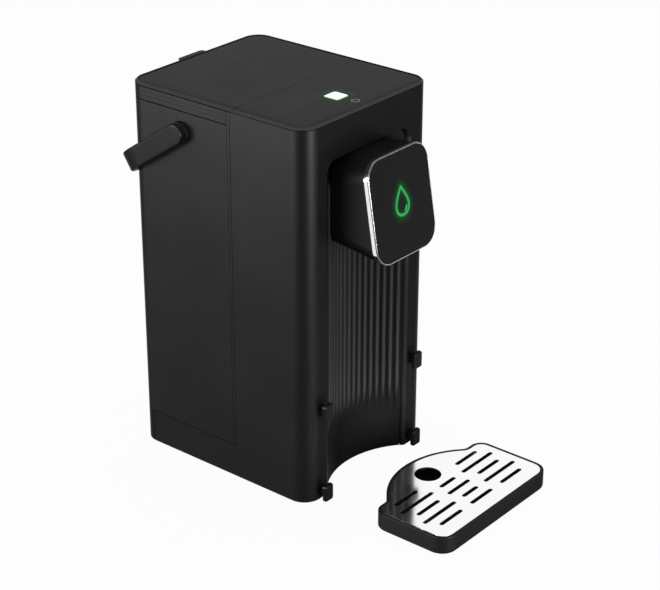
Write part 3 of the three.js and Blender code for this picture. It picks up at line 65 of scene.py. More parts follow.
CHANNEL_RADIUS = 72.5
CHANNEL_AXIS = -141.5
RECESS_TOP = 280.5
RECESS_CORNER = 10
MOUTH_ROUND = 0.9
RIBS = 17
RIB_PITCH = radians(4.679)
RIB_HEIGHT = 1.6
PANEL_TOP = 283
PANEL_REAR = -85.9

PLATE_WIDTH = 72.8
PLATE_HEIGHT = 82.4
PLATE_CORNER = 15.6
PLATE_TILT = radians(9.5)
PLATE_Y = -120.4
PLATE_Z = 240.9
SHELL_INSET = 0.6
GLASS_INSET = 1
HEAD_REAR = -54.4
HEAD_RUN = 66
HEAD_UNDERCUT = radians(6.5)
HEAD_TOP = 279.6
REAR_CORNER = 30
SPOUT = (0, -105, 0)
SPOUT_LOW = 197.3

BUTTON_X = -3
BUTTON_Y = -58.5
BUTTON_SIZE = 14.5

TANK_FRONT = -15.95
TANK_ROOM_FRONT = -13.1
TANK_WALL = 2.6
TANK_LOW = 28.15
TANK_HIGH = 299
OUTLET = (0, 30, 0)
LID_FRONT = -12.8
LID_BAND_LINES = (303.2, 306.4)

PIVOT_Y = 33.7
PIVOT_Z = 282.5
PIVOT = (0, PIVOT_Y, PIVOT_Z)
HANDLE_DROP = radians(34)

HOOK_SIDE = 56.6
HOOK_LEVELS = ((7.2, "low"), (78.5, "high"))
HOOK_HEAD_BACK = -93.4
HOOK_HALF_WIDTH = 4.9
HOOK_HALF_HEIGHT = 7.15

TRAY_X = 6
TRAY_SHOULDER = -145.3
TRAY_LOW = -1.5

SIDES = ((-1, "left"), (1, "right"))
CUTTER_REACH = 4
WELD = 0.000004
DARK = (0, 0, 0)
WHITE = (1, 1, 1)

scene = bpy.context.scene


def new_object(name, data):
    made = bpy.data.objects.new(name, data)
    scene.collection.objects.link(made)
    return made


# ---------- Node trees ----------

class Graph:
    """Short calls for adding and joining the nodes of one tree."""

    def __init__(self, tree):
        self.tree = tree

    def feed(self, socket, value):
        """Joins an output to the socket or sets its value; colours come as three numbers."""
        if isinstance(value, bpy.types.NodeSocket):
            self.tree.links.new(value, socket)
        else:
            socket.default_value = (*value, 1) if socket.type == "RGBA" else value

    def node(self, kind, settings=None, **values):
        made = self.tree.nodes.new(kind)
        for key, value in (settings or {}).items():
            setattr(made, key, value)
        for key, value in values.items():
            self.feed(made.inputs[key.replace("_", " ")], value)
        return made

    def out(self, kind, settings=None, **values):
        """The first output of a new node."""
        return self.node(kind, settings, **values).outputs[0]

    def fill(self, made, *values):
        for socket, value in zip(made.inputs, values):
            self.feed(socket, value)
        return made.outputs[0]

    def math(self, operation, *values):
        return self.fill(self.node("ShaderNodeMath", {"operation": operation}), *values)

    def add(self, first, second):
        return self.math("ADD", first, second)

    def less(self, first, second):
        return self.math("SUBTRACT", first, second)

    def times(self, first, second):
        return self.math("MULTIPLY", first, second)

    def most(self, first, second):
        return self.math("MAXIMUM", first, second)

    def span(self, value, low, high, to_low=0, to_high=1, kind="SMOOTHSTEP"):
        made = self.node("ShaderNodeMapRange", {"interpolation_type": kind})
        return self.fill(made, value, low, high, to_low, to_high)

    def mix(self, share, first, second):
        made = self.node("ShaderNodeMix", {"data_type": "RGBA"})
        for place, value in ((0, share), (6, first), (7, second)):
            self.feed(made.inputs[place], value)
        return made.outputs[2]

    def split(self, vector):
        return self.node("ShaderNodeSeparateXYZ", Vector=vector).outputs

    def vector(self, x=0, y=0, z=0):
        return self.out("ShaderNodeCombineXYZ", X=x, Y=y, Z=z)

    def joined(self, *shapes):
        made = self.node("GeometryNodeJoinGeometry")
        for shape in shapes:
            self.tree.links.new(shape, made.inputs[0])
        return made.outputs[0]

    def grouped(self, tree, **values):
        return self.node("ShaderNodeGroup", {"node_tree": tree}, **values).outputs


class Finish(Graph):
    """A new material with its shader's sockets and its place on the piece."""

    def __init__(self, name):
        self.made = bpy.data.materials.new(name)
        self.made.use_nodes = True
        super().__init__(self.made.node_tree)
        self.shader = self.tree.nodes["Principled BSDF"].inputs
        self.coords = self.node("ShaderNodeTexCoord").outputs["Object"]

    def put(self, **values):
        for key, value in values.items():
            self.feed(self.shader[key.replace("_", " ")], value)

    def present(self, label):
        return self.shader[label].links[0].from_socket

    def tint(self, share, colour):
        self.put(Base_Color=self.mix(share, self.present("Base Color"), colour))

    def marked(self, attribute):
        return self.node("ShaderNodeAttribute", {"attribute_name": attribute}).outputs["Fac"]

    def bump(self, height, strength, depth):
        self.put(Normal=self.out("ShaderNodeBump", Height=height, Strength=strength,
                                 Distance=depth))


def new_tree(name, family, inputs, outputs):
    """Tree with its sockets; an input is told by its value, or by its kind if it has none."""
    tree = bpy.data.node_groups.new(name, family + "NodeTree")
    for label, value in inputs.items():
        plain = isinstance(value, float)
        kind = "NodeSocket" + ("Float" if plain else value)
        socket = tree.interface.new_socket(label, in_out="INPUT", socket_type=kind)
        if plain:
            socket.default_value = value
    for label, kind in outputs.items():
        tree.interface.new_socket(label, in_out="OUTPUT", socket_type="NodeSocket" + kind)
    g = Graph(tree)
    return g, g.node("NodeGroupInput").outputs


def finish_tree(g, shape, material):
    """Ends a geometry tree with real geometry in the given material."""
    real = g.out("GeometryNodeRealizeInstances", Geometry=shape)
    painted = g.out("GeometryNodeSetMaterial", Geometry=real, Material=material)
    g.node("NodeGroupOutput", Geometry=painted)
    return g.tree


# ---------- Camera, floor and light ----------

def photo_camera():
    data = bpy.data.cameras.new("photo_camera")
    data.sensor_width = 36.0
    focal_pixels, photo_width = 1936.7, 660
    data.lens = focal_pixels / photo_width * data.sensor_width
    camera = new_object("photo_camera", data)
    camera.location = (-1.062, -0.92095, 0.8041)
    azimuth, elevation, roll = (radians(a) for a in (-50.66, 25.675, 0.078))
    forward = Vector((-sin(azimuth) * cos(elevation), cos(azimuth) * cos(elevation),
                      -sin(elevation)))
    level = forward.cross(Vector((0, 0, 1))).normalized()
    right = Matrix.Rotation(-roll, 3, forward) @ level
    turn = Matrix((right, right.cross(forward), -forward)).transposed()
    camera.rotation_mode = "QUATERNION"
    camera.rotation_quaternion = turn.to_quaternion()
    scene.camera = camera


def bare_graph(holder):
    """Empties the tree of a world or material."""
    holder.use_nodes = True
    holder.node_tree.nodes.clear()
    return Graph(holder.node_tree)


def white_surroundings():
    """World and floor that look white to the camera but light the object at a plain level."""
    scene.world = bpy.data.worlds.new("studio")
    g = bare_graph(scene.world)
    path = g.node("ShaderNodeLightPath").outputs
    seen = g.most(path["Is Camera Ray"], path["Is Transmission Ray"])
    seen = g.most(seen, path["Is Glossy Ray"])
    strength = g.span(seen, 0, 1, 0.42, 1, "LINEAR")
    back = g.out("ShaderNodeBackground", Color=WHITE, Strength=strength)
    g.node("ShaderNodeOutputWorld", Surface=back)

    reach, low = 6000, TRAY_LOW - 0.1
    floor = raw_piece("floor", [(-reach, -reach, low), (reach, -reach, low),
                                (reach, reach, low), (-reach, reach, low)], [(0, 1, 2, 3)])
    paper = bpy.data.materials.new("white_paper_floor")
    g = bare_graph(paper)
    path = g.node("ShaderNodeLightPath").outputs
    shade = g.out("ShaderNodeBsdfDiffuse", Color=(0.86, 0.86, 0.86))
    glow = g.out("ShaderNodeEmission", Color=WHITE, Strength=1)
    seen = g.most(path["Is Camera Ray"], path["Is Transmission Ray"])
    share = g.most(g.times(seen, 0.96), g.times(path["Is Glossy Ray"], 0.7))
    blend = g.fill(g.node("ShaderNodeMixShader"), share, shade, glow)
    g.node("ShaderNodeOutputMaterial", Surface=blend)
    floor.data.materials.append(paper)


def lamp(name, place, aim, size, watts, gleam_only=False):
    data = bpy.data.lights.new(name, "AREA")
    data.shape = "RECTANGLE"
    data.size, data.size_y = size
    data.energy = watts
    made = new_object(name, data)
    made.location = place
    made.rotation_mode = "QUATERNION"
    made.rotation_quaternion = (Vector(aim) - Vector(place)).to_track_quat("-Z", "Y")
    made.visible_diffuse = not gleam_only
    made.visible_camera = False


def lamps():
    lamp("overhead_softbox", (0.1, 0.1, 1.5), (0, 0, 0.2), (1.2, 1.2), 9)
    lamp("left_gleam", (-1.85, 0.75, 0.42), (0, 0, 0.4), (1.7, 0.8), 640, gleam_only=True)
    lamp("front_gleam", (-0.21, -1.99, 0.32), (0, 0, 0.3), (0.9, 0.6), 530, gleam_only=True)


# ---------- Materials ----------

def mould_grain():
    """Fine spark-eroded grain of moulded plastic, with a slow drift of its gloss."""
    g, given = new_tree("mould_grain", "Shader",
                        {"Vector": "Vector", "Grain": 1800.0, "Drift": 14.0, "Base": 0.45,
                         "Spread": 0.06},
                        {"Height": "Float", "Roughness": "Float", "Mask": "Float"})
    fine, slow = (g.out("ShaderNodeTexNoise", Vector=given["Vector"], Scale=given[scale],
                        Detail=detail)
                  for scale, detail in (("Grain", 2), ("Drift", 3)))
    shift = g.times(g.less(slow, 0.5), given["Spread"])
    g.node("NodeGroupOutput", Height=fine, Roughness=g.add(given["Base"], shift), Mask=slow)
    return g.tree


def wiped_dust():
    """Thin veil on upward faces, patchy as after wiping."""
    g, given = new_tree("wiped_dust", "Shader", {"Vector": "Vector", "Patch": 30.0},
                        {"Veil": "Float"})
    cloud = g.out("ShaderNodeTexNoise", Vector=given["Vector"], Scale=given["Patch"],
                  Detail=5)
    up = g.most(g.split(g.node("ShaderNodeNewGeometry").outputs["Normal"])["Z"], 0)
    g.node("NodeGroupOutput", Veil=g.times(up, g.span(cloud, 0.5, 0.8)))
    return g.tree


GRAIN = mould_grain()
DUST = wiped_dust()


def moulded_plastic(name, colour, roughness, specular=0.045, grain=1500, lift=1.15,
                    matt_from=0.44):
    """Grained plastic, whose gloss fades where it is seen at a slant."""
    dust_share, fade_width, gloss_kept = 0.25, 0.14, 0.3
    f = Finish(name)
    texture = f.grouped(GRAIN, Vector=f.coords, Grain=grain, Base=roughness)
    veil = f.grouped(DUST, Vector=f.coords)["Veil"]
    tone = f.mix(f.span(texture["Mask"], 0.35, 0.65), colour, [c * lift for c in colour])
    dusty = f.mix(f.times(veil, dust_share), tone, [c + 0.02 for c in colour])
    slant = f.node("ShaderNodeLayerWeight", Blend=0.5).outputs["Facing"]
    gloss = f.span(slant, matt_from, matt_from + fade_width, specular, specular * gloss_kept)
    f.put(Base_Color=dusty, Roughness=texture["Roughness"], Specular_IOR_Level=gloss)
    f.bump(texture["Height"], 0.35, 0.00002)
    return f


def polished_metal(name, colour, roughness):
    f = Finish(name)
    stretch = f.out("ShaderNodeMapping", Vector=f.coords, Scale=(0.06, 1, 1))
    lines, smear = (f.out("ShaderNodeTexNoise", Vector=vector, Scale=scale, Detail=detail)
                    for vector, scale, detail in ((stretch, 900, 3), (f.coords, 25, 4)))
    f.put(Metallic=1, Base_Color=f.mix(smear, [c * 0.97 for c in colour], colour),
          Roughness=f.span(smear, 0.3, 0.7, roughness * 0.8, roughness * 1.25))
    f.bump(lines, 0.05, 0.00001)
    return f


def satin_and_painted_reflection(f):
    """Gives the faces that the mesh marks with its attribute satin a satin roughness, and a
    darker colour that is a painted dark reflection.
    """
    satin = f.marked("satin")
    # Painted reflection: darker metal colour on the marked chamfer.
    f.tint(satin, (0.14, 0.14, 0.143))
    f.put(Roughness=f.math("MULTIPLY_ADD", satin, 0.10, f.present("Roughness")))


def black_touch_glass():
    """Glossy black window; the halo round the drop sign comes from the mesh's own attribute."""
    f = Finish("black_touch_glass")
    texture = f.grouped(GRAIN, Vector=f.coords, Grain=300, Drift=20, Base=0.12, Spread=0.05)
    tone = f.mix(texture["Mask"], (0.0135, 0.0135, 0.014), (0.0155, 0.0155, 0.016))
    halo = f.marked("halo")
    f.put(Base_Color=f.mix(halo, tone, (0.001, 0.004, 0.001)),
          Roughness=texture["Roughness"], Specular_IOR_Level=0.06,
          Emission_Color=f.mix(halo, DARK, (0, 0.16, 0.024)), Emission_Strength=1)
    return f


def lit_sign(name, edge, core):
    """Light behind a printed sign, brighter in the middle of its stroke."""
    f = Finish(name)
    tone = f.mix(f.marked("stroke"), edge, core)
    f.put(Base_Color=f.mix(0.95, tone, (0.001, 0.001, 0.001)), Specular_IOR_Level=0,
          Roughness=0.3, Emission_Color=tone, Emission_Strength=1)
    return f


def button_distance(f, shift_x=0, shift_y=0):
    """Distance in metres outside the button's square; the square can be shifted, in mm."""
    at = f.split(f.coords)
    sides = [f.less(f.math("ABSOLUTE", f.less(at[axis], middle * MM)), BUTTON_SIZE / 2 * MM)
             for axis, middle in (("X", BUTTON_X + shift_x), ("Y", BUTTON_Y + shift_y))]
    out_x, out_y = (f.most(side, 0) for side in sides)
    far = f.math("SQRT", f.add(f.times(out_x, out_x), f.times(out_y, out_y)))
    return f.add(far, f.math("MINIMUM", f.most(*sides), 0))


def lit_button():
    """Milky lit cap: white over its lamp, soft green towards its edges, and a darker green band
    of painted shade that is widest at the edges nearest the front left.
    """
    f = Finish("lit_button")
    # The shifted square puts the painted shade, a wider dark green band, on the front-left edges.
    distance = button_distance(f, 0.7, 0.6)
    tone = f.mix(f.span(distance, -0.0042, -0.0016), (0.97, 1, 0.95), (0.55, 0.76, 0.53))
    outer = f.span(distance, -0.0020, 0.0010)
    f.put(Base_Color=f.mix(outer, (0.6, 0.65, 0.6), (0.1, 0.2, 0.1)), Roughness=0.3,
          Emission_Color=f.mix(outer, tone, (0.12, 0.26, 0.125)), Emission_Strength=1)
    return f


def painted_glow_and_shadow_on_cover(f):
    """Painted dim green light that the button spills on the cover, and painted shadow in the gap
    round the button.
    """
    high = f.math("GREATER_THAN", f.split(f.coords)["Z"], (TOP_HIGH - 4) * MM)
    spill = f.times(f.span(button_distance(f), 0, 0.0065, 1, 0), high)
    f.put(Emission_Color=f.mix(spill, DARK, (0, 0.030, 0.006)), Emission_Strength=1)
    # Painted shadow: near-black round the button, shifted towards the front left.
    gap_shadow = f.span(button_distance(f, -0.6, -0.6), 0.0008, 0.0022, 1, 0)
    f.tint(f.times(gap_shadow, high), (0.002, 0.003, 0.002))


def paint_rim_highlight(f):
    """Paints a highlight on slanted faces, as on the bevelled rim of the top."""
    up = f.split(f.node("ShaderNodeNewGeometry").outputs["True Normal"])["Z"]
    rim = f.times(f.span(up, 0.05, 0.3), f.span(up, 0.9, 0.99, 1, 0))
    # Painted highlight: lighter colour on the bevel faces.
    f.tint(rim, (0.066, 0.066, 0.067))


def shade_recess(f):
    """Takes the gleam off the walls of the channel above the head and paints shade on them."""
    at = f.split(f.coords)
    deep = f.span(at["Y"], (FRONT + 0.8) * MM, (FRONT + 3) * MM)
    inner = f.times(deep, f.span(f.math("ABSOLUTE", at["X"]), 0.056, 0.060, 1, 0))
    gloss = f.times(f.present("Specular IOR Level"), f.span(inner, 0, 1, 1, 0.2))
    f.put(Specular_IOR_Level=gloss)
    # Painted shade: near-black colour on the recess walls.
    f.tint(inner, (0.004, 0.004, 0.0041))


def paint_rib_light_and_shade(f):
    """Paints light on the ribs from valley to crest, and paints shade on the roof above them."""
    at = f.split(f.coords)
    ahead = f.less(at["Y"], CHANNEL_AXIS * MM)
    reach = f.math("SQRT", f.add(f.math("POWER", at["X"], 2), f.math("POWER", ahead, 2)))
    crest = f.span(reach, (CHANNEL_RADIUS - 0.35 * RIB_HEIGHT) * MM,
                   (CHANNEL_RADIUS - RIB_HEIGHT) * MM)
    # Painted highlight on the rib crests, which leaves the valleys darker as painted shade.
    f.tint(f.times(crest, f.math("LESS_THAN", at["Z"], 0.278)), (0.062, 0.062, 0.0627))
    # Painted shade under the recess roof, above a height of 0.262 m.
    f.tint(f.span(at["Z"], 0.262, 0.272), (0.0025, 0.0025, 0.0026))


def top_plastic(name):
    f = moulded_plastic(name, (0.025, 0.025, 0.0253), 0.38, specular=0.012, matt_from=0.75)
    paint_rim_highlight(f)
    return f


BODY_BLACK = (0.0102, 0.0102, 0.0104)
BRIGHT_STEEL = (0.95, 0.95, 0.955)
MATT_HOUSING = moulded_plastic("housing_satin_black", BODY_BLACK, 0.32, matt_from=0.35)
shade_recess(MATT_HOUSING)
MATT_TANK = moulded_plastic("tank_satin_black", BODY_BLACK, 0.32)
MATT_TOP = top_plastic("top_satin_black")
MATT_COVER = top_plastic("front_top_satin_black")
painted_glow_and_shadow_on_cover(MATT_COVER)
RIBBED = moulded_plastic("channel_satin_black", (0.0085, 0.0085, 0.0087), 0.42, specular=0.012)
paint_rib_light_and_shade(RIBBED)
HEAD_BLACK = moulded_plastic("head_satin_black", (0.007, 0.007, 0.0072), 0.5, specular=0.016)
HANDLE_BLACK = moulded_plastic("handle_satin_black", (0.015, 0.015, 0.0152), 0.36,
                               specular=0.025)
TRAY_BLACK = moulded_plastic("tray_satin_black", (0.012, 0.012, 0.0122), 0.40)
HOOK_BLACK = moulded_plastic("hook_gloss_black", (0.012, 0.012, 0.0125), 0.36, specular=0.024)
RUBBER = moulded_plastic("soft_rubber", (0.005, 0.005, 0.005), 0.75, grain=700, specular=0.03)
INNER_GREY = moulded_plastic("inner_plain_plastic", (0.05, 0.051, 0.054), 0.5, specular=0.3)
SILICONE = moulded_plastic("milky_silicone", (0.60, 0.585, 0.53), 0.45, specular=0.4, lift=1.05)
BOARD = moulded_plastic("circuit_board_lacquer", (0.012, 0.07, 0.03), 0.35, grain=400,
                        specular=0.4, lift=1.6)
SIGN_GREY = moulded_plastic("printed_sign_grey", (0.24, 0.24, 0.24), 0.5, specular=0.1)
CHROME = polished_metal("polished_bezel_metal", BRIGHT_STEEL, 0.05)
satin_and_painted_reflection(CHROME)
MIRROR_STEEL = polished_metal("polished_tray_steel", BRIGHT_STEEL, 0.10)
PLAIN_STEEL = polished_metal("plain_steel_metal", (0.55, 0.55, 0.57), 0.3)
TOUCH_GLASS = black_touch_glass()
DROP_LIGHT = lit_sign("drop_light", (0.001, 0.13, 0.02), (0.062, 0.47, 0.135))
BUTTON_LIGHT = lit_button()


# ---------- Making and cutting meshes ----------

def arc(cx, cy, radius, start, end, count):
    angles = [start + (end - start) * i / count for i in range(count + 1)]
    return [(cx + radius * cos(a), cy + radius * sin(a)) for a in angles]


def rounded(u0, v0, u1, v1, radii, steps):
    """Rounded rectangle; its radii go anticlockwise from the low-low corner."""
    quarter = pi / 2
    a, b, c, d = [max(r, 0.02) for r in radii]
    return (arc(u1 - b, v0 + b, b, -quarter, 0, steps)
            + arc(u1 - c, v1 - c, c, 0, quarter, steps)
            + arc(u0 + d, v1 - d, d, quarter, 2 * quarter, steps)
            + arc(u0 + a, v0 + a, a, 2 * quarter, 3 * quarter, steps))


def centred(u, v, half_u, half_v, radius, steps):
    """Rounded rectangle round its middle point."""
    return rounded(u - half_u, v - half_v, u + half_u, v + half_v, [radius] * 4, steps)


def body_plan(inset, y0=FRONT, y1=BACK, front=BODY_CORNER, rear=BODY_CORNER, steps=24):
    """Outline of the body from y0 to y1 with its corners, drawn in by inset."""
    half = BODY_HALF - inset
    front, rear = (max(r - inset, SHARP) for r in (front, rear))
    return rounded(-half, y0 + inset, half, y1 - inset, (front, front, rear, rear), steps)


def tank_plan(inset, front, corner=0.4):
    """Outline of tank and lid, drawn in by inset at the sides and rear only."""
    half, rear = BODY_HALF - inset, BODY_CORNER - inset
    return rounded(-half, front, half, BACK - inset, (corner, corner, rear, rear), 24)


def at_height(outline, z):
    return [(x, y, z) for x, y in outline]


def upright(outline, y):
    return [(x, y, z) for x, z in outline]


def raw_piece(name, points, faces):
    mesh = bpy.data.meshes.new(name)
    mesh.from_pydata([tuple(c * MM for c in p) for p in points], [], faces)
    return new_object(name, mesh)


def tidy_faces(mesh, weld=True):
    """Welds doubled points, unless told not to, and turns the faces outwards."""
    b = bmesh.new()
    b.from_mesh(mesh)
    if weld:
        bmesh.ops.remove_doubles(b, verts=b.verts, dist=WELD)
        bmesh.ops.dissolve_degenerate(b, edges=b.edges, dist=WELD)
    bmesh.ops.recalc_face_normals(b, faces=b.faces)
    b.to_mesh(mesh)
    b.free()


def loft(name, rings, endless=False, weld=True):
    """Skin over rings with equal point counts, capped at both ends or joined end to end."""
    rows, count = len(rings), len(rings[0])
    faces = []
    for r in range(rows if endless else rows - 1):
        a, b = r * count, (r + 1) % rows * count
        for i in range(count):
            j = (i + 1) % count
            faces.append((a + i, a + j, b + j, b + i))
    if not endless:
        faces.append(tuple(range(count))[::-1])
        faces.append(tuple(range((rows - 1) * count, rows * count)))
    made = raw_piece(name, [p for ring in rings for p in ring], faces)
    tidy_faces(made.data, weld)
    return made


def prism(outline, z0, z1):
    return loft("prism", [at_height(outline, z0), at_height(outline, z1)])


def box(x0, x1, y0, y1, z0, z1):
    return prism([(x0, y0), (x1, y0), (x1, y1), (x0, y1)], z0, z1)


def body_layers(name, levels, **edges):
    """Stack of body outlines; a level is a height and an inset."""
    return loft(name, [at_height(body_plan(i, **edges), z) for z, i in levels])


def turned(name, profile, centre, axis="Z", sides=64):
    """Revolved (radius, height) profile round an axis through centre."""
    order = {"Z": (0, 1, 2), "Y": (1, 2, 0), "X": (2, 0, 1)}[axis]
    turns = [2 * pi * i / sides for i in range(sides)]
    rings = []
    for radius, height in profile:
        spots = [(radius * cos(a), radius * sin(a), height) for a in turns]
        rings.append([tuple(spot[k] + c for k, c in zip(order, centre)) for spot in spots])
    closed = profile[0] == profile[-1]
    return loft(name, rings[:-1] if closed else rings, endless=closed)


def rod(radius, start, end, centre, axis="Z", sides=64):
    return turned("rod", [(radius, start), (radius, end)], centre, axis, sides)


def bake(piece):
    """Turns the piece with its modifiers into a plain mesh."""
    graph = bpy.context.evaluated_depsgraph_get()
    made = bpy.data.meshes.new_from_object(piece.evaluated_get(graph))
    old = piece.data
    piece.modifiers.clear()
    piece.data = made
    bpy.data.meshes.remove(old)
    return piece


def changed(piece, kind, **settings):
    """The piece as one modifier leaves it."""
    modifier = piece.modifiers.new(kind, kind)
    for key, value in settings.items():
        setattr(modifier, key, value)
    return bake(piece)


def combine(piece, others, operation):
    for other in others:
        changed(piece, "BOOLEAN", operation=operation, solver="EXACT", object=other)
        old = other.data
        bpy.data.objects.remove(other)
        bpy.data.meshes.remove(old)
    return piece


def carve(piece, *cutters):
    return combine(piece, cutters, "DIFFERENCE")


def unite(piece, *others):
    return combine(piece, others, "UNION")


def grown(piece, tree, finish):
    """Runs a geometry tree on a piece and keeps its plain result."""
    modifier = piece.modifiers.new("grow", "NODES")
    modifier.node_group = tree
    for item in tree.interface.items_tree:
        if item.name == "Material":
            modifier[item.identifier] = finish.made
    return bake(piece)


def mark(piece, name, domain, values):
    """Gives each point or face of the piece its value of a named attribute."""
    layer = piece.data.attributes.new(name, "FLOAT", domain)
    layer.data.foreach_set("value", values)


def dress(piece, finish, node, body="housing", angle=32):
    """Gives a finished piece its material and its body, and hides the CAD node that it stands
    for.

    Its shading is smooth between sharp edges, and flat faces stay flat."""
    mesh = piece.data
    mesh.materials.clear()
    mesh.materials.append(finish.made)
    tidy_faces(mesh)
    mesh.shade_smooth()
    mesh.set_sharp_from_angle(angle=radians(angle))
    changed(piece, "WEIGHTED_NORMAL", keep_sharp=True)
    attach(piece, body)
    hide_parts(node)


def ribbon(name, line, width, height, place, finish, closed=False, swell=0.0):
    """Flat raised sign along a line; its attribute stroke is 1 in the line's middle."""
    before, after = line[-1:] + line, line[1:] + line[:1]
    if not closed:
        before[0], after[-1] = line[0], line[-1]
    rings, strokes = [], []
    for i, (u, v) in enumerate(line):
        du, dv = after[i][0] - before[i][0], after[i][1] - before[i][1]
        size = hypot(du, dv)
        wide = width + swell * sin(pi * i / len(line))
        ring = []
        for share, glow in ((-0.5, 0.0), (-0.28, 0.55), (0, 1.0), (0.28, 0.55), (0.5, 0.0)):
            off = share * wide
            ring.append(place(u - dv / size * off, v + du / size * off, height if glow else 0))
            strokes.append(glow)
        rings.append(ring)
    sign = loft(name, rings, endless=closed, weld=False)
    mark(sign, "stroke", "POINT", strokes)
    sign.data.materials.append(finish.made)
    sign.data.shade_smooth()
    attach(sign, "housing")


# ---------- Housing ----------

def channel_mouth():
    """Cutter for the concave channel, with the rounded lip of its mouth."""
    levels = [(FRONT - 5, FRONT, MOUTH_ROUND)]
    for i in range(6):
        a = pi / 2 * (1 - i / 5)
        y = FRONT + MOUTH_ROUND * (1 - sin(a))
        levels.append((y, y, MOUTH_ROUND * (1 - cos(a))))
    levels += [(y, y, 0) for y in (FRONT + MOUTH_ROUND + i for i in range(1, 5))]
    rings = []
    for y, reach_y, offset in levels:
        half = sqrt(CHANNEL_RADIUS ** 2 - (reach_y - CHANNEL_AXIS) ** 2) + offset
        corner = RECESS_CORNER + offset
        rings.append(upright(rounded(-half, -6, half, RECESS_TOP + offset,
                                     (0.02, 0.02, corner, corner), 14), y))
    return loft("mouth_cutter", rings)


def housing():
    low = [(0, 0.3), (0.1, 0.1), (0.3, 0)]
    shell = body_layers("housing_shell", low + [(TOWER_TOP - 0.2, 0), (TOWER_TOP, 0.2)],
                        y1=TOWER_BACK, rear=SHARP)
    unite(shell, body_layers("foot", low + [(FOOT_TOP - 0.3, 0), (FOOT_TOP, 0.3)]))
    tower_plan = body_plan(WALL, y1=TOWER_BACK + WALL + CUTTER_REACH, rear=SHARP)
    tower_room = prism(tower_plan, -CUTTER_REACH, TOWER_TOP + CUTTER_REACH)
    foot_room = prism(body_plan(WALL), -CUTTER_REACH, FOOT_TOP + CUTTER_REACH)
    slots = [box(x - 2.1, x + 2.1, FRONT - 4, FRONT + 7, z - 4.8, z + 4.8)
             for x in (-HOOK_SIDE, HOOK_SIDE) for z, _ in HOOK_LEVELS]
    carve(shell, tower_room, foot_room, channel_mouth(), rod(6.3, 80, 95, GLAND, "Y"), *slots)
    dress(shell, MATT_HOUSING, "front_housing")


def ribbed_tree():
    """Upright ribs on a concave wall, fading out above a plain foot."""
    g, size = new_tree("ribbed_channel_wall", "Geometry", {
        "Geometry": "Geometry", "Wall Radius": CHANNEL_RADIUS * MM, "Axis Y": CHANNEL_AXIS * MM,
        "Thickness": 0.0025, "Half Angle": 0.699, "Rib Pitch": RIB_PITCH,
        "Rib Span": RIB_PITCH * RIBS / 2, "Rib Height": RIB_HEIGHT * MM, "Fade Low": 0.030,
        "Fade High": 0.066, "Top Fade Low": 0.256, "Top Fade High": 0.264, "Low": 0.0003,
        "High": PANEL_TOP * MM, "Material": "Material"}, {"Geometry": "Geometry"})
    grid = g.out("GeometryNodeMeshGrid", Size_X=1.0, Size_Y=1.0, Vertices_X=RIBS * 14 + 3,
                 Vertices_Y=56)
    spot = g.split(g.out("GeometryNodeInputPosition"))
    angle = g.times(g.times(spot["X"], 2), size["Half Angle"])
    tall = g.less(size["High"], size["Low"])
    height = g.add(size["Low"], g.times(g.add(spot["Y"], 0.5), tall))
    turn = g.times(g.math("DIVIDE", angle, size["Rib Pitch"]), 2 * pi)
    wave = g.math("POWER", g.add(g.times(g.math("COSINE", turn), 0.5), 0.5), 0.75)
    inside = g.math("LESS_THAN", g.math("ABSOLUTE", angle), size["Rib Span"])
    fade = g.times(g.span(height, size["Fade Low"], size["Fade High"]),
                   g.span(height, size["Top Fade Low"], size["Top Fade High"], 1, 0))
    rise = g.times(g.times(wave, inside), g.times(fade, size["Rib Height"]))

    def on_arc(reach, turn, z):
        return g.vector(g.times(reach, g.math("SINE", turn)),
                        g.add(size["Axis Y"], g.times(reach, g.math("COSINE", turn))), z)

    face = g.out("GeometryNodeSetPosition", Geometry=grid,
                 Position=on_arc(g.less(size["Wall Radius"], rise), angle, height))
    edges = g.node("GeometryNodeExtrudeMesh", {"mode": "FACES"}, Mesh=face,
                   Offset_Scale=0.0005, Individual=False)
    spot = g.split(g.out("GeometryNodeInputPosition"))
    around = g.math("ARCTAN2", spot["X"], g.less(spot["Y"], size["Axis Y"]))
    rear = g.add(size["Wall Radius"], size["Thickness"])
    seated = g.out("GeometryNodeSetPosition", Geometry=edges.outputs["Mesh"],
                   Selection=edges.outputs["Top"], Position=on_arc(rear, around, spot["Z"]))
    whole = g.joined(seated, g.out("GeometryNodeFlipFaces", Mesh=face))
    welded = g.out("GeometryNodeMergeByDistance", Geometry=whole, Distance=0.00001)
    return finish_tree(g, welded, size["Material"])


def splash_wall():
    wall = grown(raw_piece("splash_wall", [], []), ribbed_tree(), RIBBED)
    roof_edge = arc(0, CHANNEL_AXIS, 73.6, radians(48.5), radians(131.5), 48)
    roof = prism(roof_edge + [(-46, PANEL_REAR), (46, PANEL_REAR)], 280.8, PANEL_TOP)
    flanges = [box(*sorted((s * 46.6, s * 52.5)), PANEL_REAR, -83.4, 6, PANEL_TOP)
               for s in (-1, 1)]
    unite(wall, roof, *flanges)
    window = box(-28, 28, -80, -60, 222, 268)
    carve(wall, window)
    dress(wall, RIBBED, "splash_panel", angle=50)


